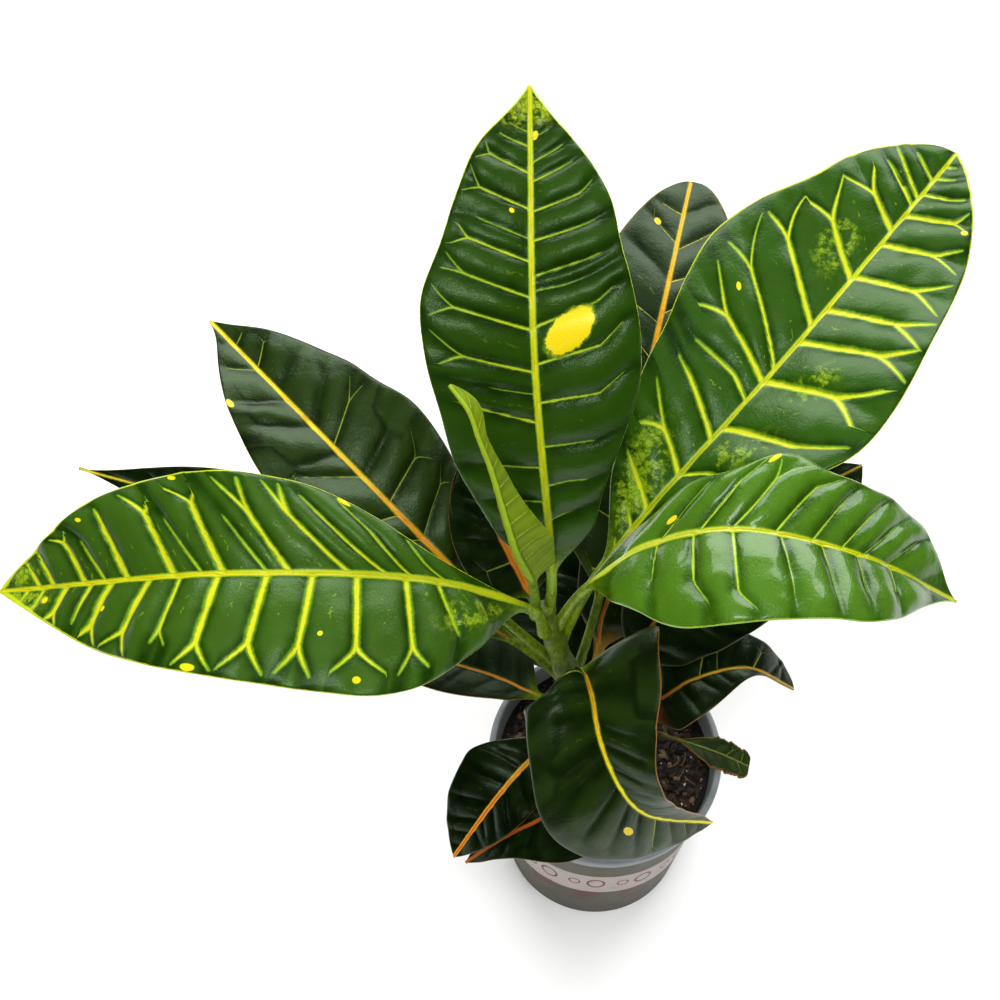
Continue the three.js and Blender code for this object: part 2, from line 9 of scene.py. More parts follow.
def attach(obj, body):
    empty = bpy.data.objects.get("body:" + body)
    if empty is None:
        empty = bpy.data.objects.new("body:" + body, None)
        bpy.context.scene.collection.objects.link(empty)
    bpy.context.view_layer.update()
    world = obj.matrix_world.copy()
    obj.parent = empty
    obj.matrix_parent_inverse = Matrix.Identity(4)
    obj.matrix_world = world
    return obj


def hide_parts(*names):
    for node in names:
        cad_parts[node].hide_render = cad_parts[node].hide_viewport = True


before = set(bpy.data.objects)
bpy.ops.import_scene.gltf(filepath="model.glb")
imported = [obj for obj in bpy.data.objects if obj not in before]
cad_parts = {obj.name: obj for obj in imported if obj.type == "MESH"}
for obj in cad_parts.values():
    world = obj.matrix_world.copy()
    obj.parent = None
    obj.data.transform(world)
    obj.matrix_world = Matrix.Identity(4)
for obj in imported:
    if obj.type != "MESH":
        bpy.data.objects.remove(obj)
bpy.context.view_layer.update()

# Potted croton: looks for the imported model. Lengths are millimetres until a mesh is made.

MM = 0.001
FULL_TURN = 2 * math.pi
NEARLY_FULL_TURN = 6.28

# Camera: the photograph's view from above the front
CAMERA_PLACE = (-56, -365, 969)
CAMERA_PITCH = math.radians(59.6)
CAMERA_ROLL = math.radians(2.1)
CAMERA_LENS = 68.4
SENSOR_WIDTH = 36

# Pot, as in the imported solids
POT_HEIGHT = 108
POT_RIM_RADIUS = 57
POT_NECK_RADIUS = 53.6
POT_FOOT_RADIUS = 45.4
POT_WALL = 1.6
POT_FLOOR = 2.4
POT_FOOT_EDGE = 1.1
COLLAR_HEIGHT = 11
COLLAR_LIP = 1.3
LIP_HEIGHT = 4
DRAIN_HOLES = 6
DRAIN_RADIUS = 4
DRAIN_CIRCLE = 32
DRAIN_SIDES = 28
DRILL_SPARE = (3, 2)
POT_SIDES = 160

# Print on the pot: a band, rings in it and slanted ovals below it
BAND_BOTTOM, BAND_TOP, BAND_WAVE = 41, 71, 2.4
RING_LEVEL, OVAL_LEVEL = 57.5, 36
PRINT_MOTIFS = 13
PRINT_RADIUS = 49

# Potting mix
SOIL_LEVEL = 97
SOIL_CROWN = 2
SOIL_LUMP = 1.3
LUMP_LENGTH = 19
CRUMB_LENGTH = 7.5
CRUMB_SHARE = 0.6
CROWN_POWER = 4
SOIL_GAP = 0.3
SOIL_SIDES = 144
SOIL_ROWS = 52
CHIPS = 2600
CHIP_SIZES = (0.5, 0.6, 0.8, 1.0, 1.3, 1.9)
CHIP_EDGE = 1.5
FIBRES = 110
FIBRE_STEPS, FIBRE_SIDES = 7, 5
CHIP_CLEAR, FIBRE_CLEAR = 7.5, 12

# Stem
STEM_ROUTE = [(-5, 12, 62), (-8, 12, 97), (-20, 13, 160), (-30, 11, 210), (-35.5, 9, 241)]
STEM_RADIUS = [6.6, 6.4, 5.8, 4.8, 3.5]
STEM_ROWS = 150
STEM_SIDES = 40
STEM_SWELLS = 7
STEM_SAMPLES = 200
KNUCKLE_RISE, KNUCKLE_REACH = 0.4, 3.4
SCAR_DEPTH, SCAR_RADIUS, SCAR_WIDTH = 0.25, 4.6, 0.8

# Leaf blades
BLADE_THICKNESS = 0.8
TIP_HALF_WIDTH = 0.7
RIB_HALF_WIDTH = 1.7
RIB_DEPTH = 1.7
RIB_RISE = 0.35
RIB_SHARE = 0.3
RIB_PARTS = (0.3, 0.62, 0.86, 1.0)
RIB_TAPER = 0.7
STALK_FLARE = 0.3
STALK_ROWS = 18
STALK_SAMPLES = 160
STALK_SINK = 1.2
STALK_STEP = 0.004
STALK_SWELL, STALK_SWELL_SHARE = 0.16, 0.13
SPINE_SAMPLES = 400
TANGENT_STEP = 0.01
STEPS_A_VEIN = 12
FINE_STEPS = 22

# Relief of the blades: crease along a vein, where veins are listed and where they are drawn
PILLOW_HEIGHT = 1.5
LUMP_HEIGHT = 0.6
FRILL_HEIGHT = 0.35
LISTED_CREASE = 0.5
SEEDED_CREASE = 0.22
CREASE_WIDTH = 1.1
SHOULDER_SHARE = 0.16

# Values of a leaf. A pair holds its left and right half, and a list runs evenly from base to tip.
# The blade starts at the route's point blade_from, and the stalk's round section ends at the share neck.
# facing, roll, fold and curl are degrees. half, peak, full and trim are the half width, the share where
# it is widest, how early it falls off and what corrects it. sweeps lean the veins to the tip. quilt, wave,
# waves and tatter are the height of the pillows, the margin's waves and their count, and its torn edge.
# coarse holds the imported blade's columns. lips are the bright margin's widths. A cloud is a mottled patch:
# its place along and across the blade, two half sizes and its strength. shoulder lifts the right half's base.
LEAF_SHAPE = dict(
    blade_from=1, neck=0.1, facing=None, half=(40, 40), peak=(0.47, 0.47), full=(0.8, 0.8), roll=0,
    fold=(12, 12), curl=(-10, -10), veins=13, quilt=1.2, sweeps=(0.1, 0.1), wave=0, waves=2, tatter=0,
    trim=([1, 1], [1, 1]), stalk=2.2, coarse=(0.55, 1), lips=([0.12], [0.12]), clouds=(),
    shoulder=(0, 0, 0),
)
LARGE = (0.36, 0.7, 1)
GLOSS_TINT = (0.72, 1.0, 0.62, 1)


def colour(code):
    """Linear colour of a #rrggbb code."""
    parts = [int(code[k:k + 2], 16) / 255 for k in (1, 3, 5)]
    return (*[c / 12.92 if c < 0.04045 else ((c + 0.055) / 1.055) ** 2.4 for c in parts], 1)


# Formulas that run on numbers, for shapes, and on wires between nodes, for colours

class Wire:
    """A number in a node tree. Arithmetic on it adds Math nodes."""

    def __init__(self, tree, socket):
        self.tree, self.socket = tree, socket

    def __add__(self, other):
        return calc("ADD", self, other)

    def __sub__(self, other):
        return calc("SUBTRACT", self, other)

    def __rsub__(self, other):
        return calc("SUBTRACT", other, self)

    def __mul__(self, other):
        return calc("MULTIPLY", self, other)

    def __truediv__(self, other):
        return calc("DIVIDE", self, other)

    __radd__ = __add__
    __rmul__ = __mul__


NUMBERS = {"SINE": np.sin, "ABSOLUTE": np.abs, "FRACT": lambda x: x - np.floor(x)}


def feed(tree, sockets, values):
    """Links wires into sockets and sets the other sockets."""
    for socket, value in zip(sockets, values):
        if isinstance(value, Wire):
            tree.links.new(value.socket, socket)
        else:
            socket.default_value = colour(value) if isinstance(value, str) else float(value)


def calc(operation, *values):
    wires = [value for value in values if isinstance(value, Wire)]
    if not wires:
        return NUMBERS[operation](*values)
    tree = wires[0].tree
    node = tree.nodes.new("ShaderNodeMath")
    node.operation = operation
    feed(tree, node.inputs, values)
    return Wire(tree, node.outputs[0])


def fade(value, low, high):
    """0 below low, 1 above high, smooth between them. The ends may be given the other way round."""
    if not isinstance(value, Wire):
        share = np.clip((value - low) / (high - low), 0, 1)
        return share * share * (3 - 2 * share)
    node = value.tree.nodes.new("ShaderNodeMapRange")
    node.interpolation_type = "SMOOTHSTEP"
    feed(value.tree, node.inputs, (value, low, high))
    return Wire(value.tree, node.outputs[0])


def chance(number, salt):
    """A number from 0 to 1 that belongs to a whole number and a salt."""
    return calc("FRACT", calc("ABSOLUTE", calc("SINE", number * 12.9898 + salt * 4.37) * 43.7585))


class Paint:
    """A new node material with its Principled shader and short ways to add nodes."""

    def __init__(self, name):
        self.material = bpy.data.materials.new(name)
        self.material.use_nodes = True
        self.tree = self.material.node_tree
        self.shader = self.tree.nodes["Principled BSDF"]
        scale = self.node("VectorMath", operation="SCALE")
        scale.inputs["Scale"].default_value = 1 / MM
        self.tree.links.new(self.node("TexCoord").outputs["Object"], scale.inputs[0])
        self.place = scale.outputs[0]

    def node(self, kind, **settings):
        node = self.tree.nodes.new("ShaderNode" + kind)
        for key, value in settings.items():
            setattr(node, key, value)
        return node

    def attribute(self, name):
        return Wire(self.tree, self.node("Attribute", attribute_name=name).outputs["Fac"])

    def axis(self, letter):
        node = self.node("SeparateXYZ")
        self.tree.links.new(self.place, node.inputs[0])
        return Wire(self.tree, node.outputs[letter])

    def noise(self, size, detail=3.0, roughness=0.55, stretch=None):
        """Noise around 0.5, with features of the given size."""
        node = self.node("TexNoise")
        node.inputs["Scale"].default_value = 1 / size
        node.inputs["Detail"].default_value = detail
        node.inputs["Roughness"].default_value = roughness
        source = self.place
        if stretch:
            bend = self.node("VectorMath", operation="MULTIPLY")
            bend.inputs[1].default_value = stretch
            self.tree.links.new(self.place, bend.inputs[0])
            source = bend.outputs[0]
        self.tree.links.new(source, node.inputs["Vector"])
        return Wire(self.tree, node.outputs["Fac"])

    def cells(self, size, feature="F1"):
        """Distance in a cell pattern, and a number of its own for each cell."""
        node = self.node("TexVoronoi", feature=feature)
        node.inputs["Scale"].default_value = 1 / size
        self.tree.links.new(self.place, node.inputs["Vector"])
        number = Wire(self.tree, node.outputs["Color"]) if feature == "F1" else None
        return Wire(self.tree, node.outputs["Distance"]) * size, number

    def mix(self, factor, first, second):
        node = self.node("Mix", data_type="RGBA")
        feed(self.tree, (node.inputs[0], node.inputs[6], node.inputs[7]), (factor, first, second))
        return Wire(self.tree, node.outputs[2])

    def finish(self, tint, roughness, height, depth=1.0):
        """Links colour, roughness and a height in millimetres."""
        bump = self.node("Bump")
        bump.inputs["Distance"].default_value = MM * depth
        self.tree.links.new(bump.outputs[0], self.shader.inputs["Normal"])
        sockets = (self.shader.inputs["Base Color"], self.shader.inputs["Roughness"], bump.inputs["Height"])
        feed(self.tree, sockets, (tint, roughness, height))
        return self.material


def make_mesh(name, points, faces):
    """A mesh and its object, from points in millimetres."""
    mesh = bpy.data.meshes.new(name)
    mesh.from_pydata((np.asarray(points) * MM).tolist(), [], faces)
    thing = bpy.data.objects.new(name, mesh)
    bpy.context.collection.objects.link(thing)
    return mesh, thing


def make_piece(name, points, faces, material, node=None, attributes=None, smooth=True):
    """A piece of the plant, with a number for each point under each attribute's name."""
    mesh, piece = make_mesh(name, points, faces)
    for key, values in (attributes or {}).items():
        layer = mesh.attributes.new(key, "FLOAT", "POINT")
        layer.data.foreach_set("value", np.asarray(values, np.float32).ravel())
    if smooth:
        mesh.shade_smooth()
    mesh.materials.append(material)
    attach(piece, "root")
    if node:
        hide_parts(node)
    return piece


def add_body(points, faces, more_points, more_faces):
    """Adds a body's points and faces to those of others."""
    base = len(points)
    points += [tuple(q) for q in more_points]
    faces += [[base + k for k in f] for f in more_faces]


def capped_rings(low, rings, high):
    """Points and faces of a closed body: rings of points between a lower and an upper point."""
    sides = len(rings[0])
    points = [low, *(q for ring in rings for q in ring), high]
    faces = []
    for k in range(sides):
        following = (k + 1) % sides
        faces.append([0, 1 + following, 1 + k])
        for start in range(1, 1 + (len(rings) - 1) * sides, sides):
            faces.append([start + k, start + following, start + following + sides, start + k + sides])
        start = 1 + (len(rings) - 1) * sides
        faces.append([start + k, start + following, len(points) - 1])
    return points, faces


def tube(axis, radii, sides):
    """Points and faces of a closed tube, with radii given for each row and side."""
    tangent = unit(np.gradient(axis, axis=0))
    side = unit(np.array([1.0, 0, 0]) - tangent[:, :1] * tangent)
    across = np.cross(tangent, side)
    angles = FULL_TURN * np.arange(sides) / sides
    points = (axis[:, None] + side[:, None] * (radii * np.cos(angles))[..., None]
              + across[:, None] * (radii * np.sin(angles))[..., None]).reshape(-1, 3)
    last = (len(axis) - 1) * sides
    faces = []
    for row in range(0, last, sides):
        for k in range(sides):
            following = (k + 1) % sides
            faces.append([row + k, row + following, row + sides + following, row + sides + k])
    faces.append(list(range(sides))[::-1])
    faces.append([last + k for k in range(sides)])
    return points, faces


def unit(vectors):
    return vectors / np.maximum(np.linalg.norm(vectors, axis=-1, keepdims=True), 1e-9)


def dot(a, b):
    return np.sum(a * b, axis=-1, keepdims=True)


def listed_place(listed, t):
    """The span of an evenly spread list that t falls in, the share of that span, and the count of spans."""
    spans = len(listed) - 1
    k = np.clip(np.floor(t * spans).astype(int), 0, spans - 1)
    return k, t * spans - k, spans


def along(value, t):
    """Value along a blade: a number, or a list spread evenly from base to tip."""
    listed = np.atleast_1d(np.array(value, float))
    if len(listed) == 1:
        return np.full_like(t, listed[0])
    k, f, _ = listed_place(listed, t)
    share = fade(f, 0, 1)
    return listed[k] * (1 - share) + listed[k + 1] * share


def smooth_list(values, t):
    """Smooth curve through a list spread evenly from base to tip."""
    listed = np.array(values, float)
    k, f, spans = listed_place(listed, t)
    p0, p1, p2 = listed[np.maximum(k - 1, 0)], listed[k], listed[k + 1]
    p3 = listed[np.minimum(k + 2, spans)]
    out, back = (p2 - p0) / 2, (p3 - p1) / 2
    square = 3 * p2 - 3 * p1 - 2 * out - back
    cube = 2 * p1 - 2 * p2 + out + back
    return p1 + out * f + square * f ** 2 + cube * f ** 3


def spline(route, t):
    """Points at shares t of a smooth curve through a route."""
    points = np.array(route, float)
    ends = np.vstack([2 * points[0] - points[1], points, 2 * points[-1] - points[-2]])
    k, f, _ = listed_place(points, np.asarray(t, float))
    f = f[:, None]
    p0, p1, p2, p3 = (ends[k + j] for j in range(4))
    d0, d1, d2 = (np.sqrt(np.linalg.norm(b - a, axis=1))[:, None] for a, b in ((p0, p1), (p1, p2), (p2, p3)))
    out = ((p1 - p0) / d0 - (p2 - p0) / (d0 + d1) + (p2 - p1) / d1) * d1
    back = ((p2 - p1) / d1 - (p3 - p1) / (d1 + d2) + (p3 - p2) / d2) * d1
    square = -3 * p1 + 3 * p2 - 2 * out - back
    cube = 2 * p1 - 2 * p2 + out + back
    return p1 + out * f + square * f ** 2 + cube * f ** 3


# Veins: lists of them for each half of a blade give its grooves and pillows and the lines in its paint

def listed_veins(rows):
    """Veins from rows of whole numbers: midrib end and fork along the blade, fork across it, branch ends
    (one number where the vein doesn't fork), reach across and half width. Those along the blade are
    thousandths of its length, those across it hundredths, and the half width hundredths of a millimetre."""
    veins = []
    for start, fork, parting, *ends, reach, thick in rows:
        lengths = (start / 1000, fork / 1000, parting / 100, ends[0] / 1000, ends[-1] / 1000)
        veins.append((*lengths, reach / 100, thick / 100))
    return veins


def seeded_veins(leaf, side):
    """Veins for a half blade that has no list, spread evenly with some variety."""
    draw = random.Random(leaf["name"] + side)
    look, count = leaf["look"], leaf["veins"]
    veins = []
    for k in range(count):
        start = (k + 0.7 + draw.uniform(-0.22, 0.22)) / (count + 0.6)
        fork = start + draw.uniform(-0.2, 0.35) / count
        spread = draw.uniform(0.15, 0.5) / count
        reach = look["reach"] + draw.uniform(-0.15, 0.1)
        thick = look["vein_width"] * draw.uniform(0.5, 1.0)
        if draw.random() > look["shown"]:
            thick = 0.0
        parting = draw.uniform(0.5, 0.7)
        veins.append((start, fork, parting, fork - spread, fork + spread, max(reach, parting + 0.1), thick))
    return veins


def vein_field(veins, tau, away, whole):
    """For places on a half blade: a coordinate that is whole on each vein, the spacing of the veins there,
    how far the nearest vein's branches have opened, its half width, and how deep its groove is."""
    start, fork, parting, back, ahead, reach, thick = np.array(veins, float).T
    count = len(veins)
    u = away[..., None]
    before = np.minimum(u / parting, 1)
    beyond = np.clip((u - parting) / (reach - parting), 0, 1.25)
    line = start + (fork - start) * before + ((back + ahead) / 2 - fork) * beyond
    first, last = line[..., :1] - 0.9 / count, line[..., -1:] + 0.9 / count
    line = np.concatenate([first, np.maximum.accumulate(line, axis=-1), last], axis=-1)
    k = np.clip(np.sum(line <= tau[..., None], axis=-1) - 1, 0, count)[..., None]
    low = np.take_along_axis(line, k, -1)[..., 0]
    high = np.take_along_axis(line, k + 1, -1)[..., 0]
    gap = np.maximum(high - low, 0.004)
    share = np.clip((tau - low) / gap, 0, 1)
    nearest = k[..., 0] + (share > 0.5)
    inside = (nearest >= 1) & (nearest <= count)
    own = np.clip(nearest - 1, 0, count - 1)[..., None]

    def at_nearest(values):
        return np.take_along_axis(values, own, -1)[..., 0] * inside

    opened = at_nearest((ahead - back) / 2 * beyond ** 1.2 * whole)
    taper = (1 - 0.3 * before) * (1 - 0.5 * np.clip(beyond, 0, 1)) * fade(u, reach + 0.09, reach - 0.02)
    deep = np.where(thick > 0, np.minimum(0.35 + thick, 1), 0.7) * fade(u, reach + 0.2, reach - 0.1)
    return k[..., 0] + share, gap * whole, opened, at_nearest(thick * taper), at_nearest(deep)


class LeafPaint(Paint):
    """Glossy leaf with a bright midrib, forked side veins, margins, mottling and spots. Each method that
    takes a colour lays its own over it."""

    def __init__(self, name, look, whole):
        super().__init__(name)
        self.look, self.whole = look, whole
        self.vein, self.step, self.thick = (self.attribute(key) for key in ("vein", "step", "thick"))
        self.across, self.span, self.length = (self.attribute(key) for key in ("across", "span", "length"))
        self.under, self.stalk = self.attribute("under"), self.attribute("stalk")
        self.away = calc("ABSOLUTE", self.across)
        self.fine = self.noise(1.6, 2.0) - 0.5
        self.rough = self.noise(7.0, 4.0) - 0.5
        self.broad = self.noise(30.0, 3.0) - 0.5
        offset = calc("ABSOLUTE", self.vein - calc("FLOOR", self.vein + 0.5)) * self.step
        self.distance = calc("ABSOLUTE", offset - self.attribute("opening"))
        ragged_distance = self.distance + self.fine * look["ragged"]
        self.vein_width = self.thick * (self.rough * 1.4 + 1.0) * look["vein_scale"]
        shown = fade(self.thick, 0.03, 0.12)
        self.core = fade(ragged_distance, self.vein_width + 0.1, self.vein_width * 0.5) * shown
        halo_end = self.vein_width * 1.3 + look["bleed"]
        self.halo = fade(ragged_distance, halo_end, self.vein_width * 0.7) * shown

    def green(self):
        """Blade green with slow changes, paler in the middle of the pillows as painted sheen and deeper
        beside the veins as painted shade in the creases.
        """
        deep, middle, pale = self.look["blade"]
        tint = self.mix(fade(self.broad + self.rough * 0.4, -0.2, 0.2), deep, middle)
        # painted sheen and shade: the blade's third colour lies over the middle of each pillow, while the
        # green beside the veins stays deep
        return self.mix(fade(self.distance + self.rough * 2.0, 0.8, 6.0) * 0.7, tint, pale)

    def mottling(self, tint):
        """Yellow-green clouds between the veins, cut by a dark net."""
        cloud = self.attribute("cloud")
        grain = self.noise(3.6, 6.0, 0.7)
        net, _ = self.cells(3.2, "DISTANCE_TO_EDGE")
        patches = fade(grain + self.rough * 0.6 - cloud * 0.24, 0.5, 0.3) * fade(cloud, 0.02, 0.3)
        patches = patches * (fade(net + self.fine * 0.3, 0.0, 0.5) * 0.55 + 0.45)
        return self.mix(calc("MINIMUM", patches, 0.9), tint, self.look["cloud"])

    def side_veins(self, tint):
        """Side veins, each with a halo. The thinner ones are greener."""
        look = self.look
        strong = fade(self.thick, look["strong"] * 0.2, look["strong"])
        vein_tint = self.mix(strong, look["thin"], look["vein"])
        tint = self.mix(self.halo * look["halo_power"], tint, look["halo"])
        return self.mix(self.core * (strong * 0.35 + 0.65), tint, vein_tint)

    def small_veins(self, tint):
        """Small broken veins between the large ones."""
        look = self.look
        between = calc("ABSOLUTE", calc("FRACT", self.vein + self.rough * 0.5) - 0.5) * self.step
        inner = fade(self.away, look["small_reach"], look["small_reach"] - 0.2)
        dashes = fade(self.noise(3.4, 2.0), 0.56, 0.62) * inner
        return self.mix(fade(between, 0.5, 0.12) * dashes * look["small_power"], tint, look["thin"])

    def spots(self, tint):
        """Spots scattered over the blade."""
        look = self.look
        reach, number = self.cells(look["dot_gap"])
        size = fade(number, 1 - look["dots"], 1.0) * look["dot_size"]
        share = fade(reach + self.fine * 0.4, size, size * 0.5) * fade(size, 0.05, 0.15)
        return self.mix(share, tint, look["spot"])

    def marks(self, tint):
        """Larger marks: place along and across the blade, half sizes in millimetres, slant, raggedness."""
        for mark_along, mark_across, mark_length, mark_width, *edge in self.look["marks"]:
            slant, ragged = edge or (0, 0.3)
            side = (self.across - mark_across) * self.span
            leaning = self.attribute("down") - mark_along * self.whole - side * slant
            shape = calc("SQRT", leaning * leaning / mark_length ** 2 + side * side / mark_width ** 2)
            shape = shape + self.rough * ragged + self.fine * 0.5 * ragged
            tint = self.mix(fade(shape, 1.12, 0.98), tint, self.look["halo"])
            tint = self.mix(fade(shape, 1.0, 0.9), tint, self.look["spot"])
        return tint

    def margin(self, tint):
        inward = (1.0 - self.away) * self.span
        band = self.attribute("lip") * (self.rough * 0.9 + 1.0)
        share = fade(inward + self.fine * 0.5, band, band * 0.5) * fade(band, 0.02, 0.15)
        return self.mix(share, tint, self.look["margin"])

    def midrib(self, tint):
        """Midrib that goes from the stalk's colour to the tip's."""
        look = self.look
        sideways = self.away * self.span
        width = look["rib_width"] * (1.0 - self.length * 0.42)
        edge = fade(sideways + self.fine * 0.5, width + 0.5, width * 0.85)
        rib = fade(sideways + self.fine * 0.3, width * 0.95, width * 0.5)
        tipward = fade(self.length + self.broad * 0.3, look["rib_turn"] - 0.35, look["rib_turn"] + 0.1)
        rib_tint = self.mix(tipward, look["rib_base"], look["rib_tip"])
        rib_tint = self.mix(fade(self.rough, 0.02, 0.2) * look["rib_streak"], rib_tint, look["rib_dark"])
        tint = self.mix(edge * look["rib_edge_power"], tint, look["rib_edge"])
        return self.mix(rib, tint, rib_tint)

    def lower_face_and_stalk(self, tint):
        """The duller lower face, and the stalk with its streaks."""
        tint = self.mix(self.under, tint, self.mix(0.35, tint, self.look["below"]))
        streaks = fade(self.rough + self.fine, -0.25, 0.3)
        return self.mix(self.stalk, tint, self.mix(streaks, self.look["stalk"], self.look["stalk_dark"]))

    def gloss(self, tint):
        """Links the colour with the gloss and the fine relief."""
        look, inputs = self.look, self.shader.inputs
        roughness = look["roughness"] + self.rough * 0.1 + self.fine * 0.04
        roughness = roughness + self.under * 0.22 + self.core * 0.1 + self.stalk * 0.12
        net, _ = self.cells(2.2, "DISTANCE_TO_EDGE")
        relief = fade(net, 0.0, 0.35) * 0.05 + self.noise(0.7, 2.0) * 0.03 + self.noise(3.5, 3.0) * 0.3
        inputs["Coat Weight"].default_value = look["coat"]
        inputs["Coat Roughness"].default_value = look["coat_roughness"]
        inputs["Specular IOR Level"].default_value = look["specular"]
        inputs["Specular Tint"].default_value = GLOSS_TINT
        return self.finish(tint, roughness, relief * look["relief"] - self.core * 0.1)


def leaf_paint(name, look, whole):
    p = LeafPaint(name, look, whole)
    tint = p.green()
    for layer in (p.mottling, p.side_veins, p.small_veins, p.spots, p.marks, p.margin, p.midrib,
                  p.lower_face_and_stalk):
        tint = layer(tint)
    return p.gloss(tint)


# blade holds a deep and a middle green, then a paler green that the paint lays on the pillows as painted
# sheen
DARK = dict(
    blade=("#020a00", "#051200", "#0c1b02"), below="#2c4618", vein="#a8a51c", thin="#5d7a1c", halo="#3c5412",
    cloud="#55751a", spot="#d8bb1e", margin="#8a5a1c", stalk="#667c10", stalk_dark="#3c4e08",
    rib_base="#c8601a", rib_tip="#d0a014", rib_dark="#b8481a", rib_edge="#7c7a16", rib_edge_power=0.8,
    rib_turn=0.6, rib_streak=0.4, rib_width=1.1, shown=0.35, reach=0.7, ragged=0.35, vein_width=0.35,
    bleed=0.3, strong=0.5, halo_power=0.7, vein_scale=1, small_reach=0.6, small_power=0.2, dots=0.14,
    dot_gap=16, dot_size=0.7, marks=(), roughness=0.33, coat=0.03, coat_roughness=0.2, specular=0.4,
    relief=0.5,
)
BRIGHT = dict(
    DARK, below="#6f9a35", vein="#bdbe10", thin="#8fab14", halo="#749e10", cloud="#93a617", spot="#dcc40a",
    margin="#b4c018", stalk="#728c06", stalk_dark="#465a04", rib_base="#a6ac14", rib_tip="#bfbc0e",
    rib_dark="#a2a816", rib_edge="#86a314", rib_edge_power=0.9, rib_turn=0.5, rib_streak=0.3, rib_width=1.75,
    bleed=1, halo_power=0.85, small_power=0.4, dots=0.22, dot_gap=11, dot_size=0.8, ragged=0.7, roughness=0.3,
)
LEAVES = []


def leaf(name, slot="leaf_dark", **shape):
    """Adds a leaf, with what differs from LEAF_SHAPE and from one of the two looks."""
    LEAVES.append({**LEAF_SHAPE, "name": name, "slot": slot, **shape})


YOUNG_VEINS = (60, 130, 200, 270, 340, 410, 490, 570, 650, 730, 810, 880)
leaf(
    "leaf_upright", "leaf_bright", route=[(-33, 12, 232), (-33, 13.2, 262), (-44.8, 67.6, 350.6),
        (-50.3, 161, 400)],
    half=(46, 43), fold=(8, 8), wave=1.2, sweeps=(0.05, 0.09), coarse=LARGE,
    trim=([1.1, 0.9, 0.85, 0.87, 0.87, 0.95, 1.02, 0.96, 1.01, 1.1, 0.7],
        [1, 0.85, 0.77, 0.85, 0.97, 1, 1, 1.01, 1.13, 1.06, 0.66]),
    lips=([0.08, 0.1, 0.15, 0.4, 1.3], [0.08, 0.1, 0.15, 0.35, 1.3]),
    clouds=[(0.95, -0.5, 0.035, 0.5, 0.5), (0.95, 0.5, 0.035, 0.5, 0.4)],
    veins_left=[(185, 187, 34, 189, 51, 25), (260, 261, 46, 260, 58, 30), (354, 375, 69, 379, 80, 45),
        (411, 412, 34, 414, 45, 18), (453, 462, 66, 443, 490, 88, 50), (533, 545, 70, 527, 568, 88, 50),
        (593, 608, 65, 608, 631, 86, 45), (660, 673, 70, 650, 701, 91, 55), (702, 712, 51, 714, 64, 25),
        (759, 773, 70, 761, 803, 89, 50), (828, 846, 68, 833, 865, 86, 45), (880, 888, 57, 890, 68, 35),
        (908, 914, 49, 916, 62, 20), (927, 934, 53, 935, 67, 20)],
    veins_right=[(140, 142, 38, 141, 50, 15), (220, 206, 38, 194, 65, 30), (304, 282, 35, 267, 62, 35),
        (394, 355, 61, 370, 80, 45), (468, 445, 62, 464, 80, 50), (538, 528, 63, 538, 77, 45),
        (607, 589, 31, 583, 51, 22), (632, 612, 60, 610, 72, 35), (699, 683, 51, 679, 72, 40),
        (754, 746, 62, 757, 82, 40), (812, 814, 50, 814, 66, 38), (848, 853, 50, 854, 65, 30),
        (893, 896, 40, 896, 52, 22)],
    look=dict(BRIGHT, blade=("#102500", "#193402", "#254404"), vein="#a4b212", thin="#7c9c16",
        halo="#50740e", margin="#b4cc44", ragged=0.5, bleed=0.5, small_power=0.15, dots=0.16, vein_scale=1.1,
        marks=[(0.5, 0.333, 8.4, 10.2, 0.05, 0.55), (0.898, 0.11, 1.8, 1.5, 0, 0.4),
            (0.746, -0.245, 1.1, 1.1)]))
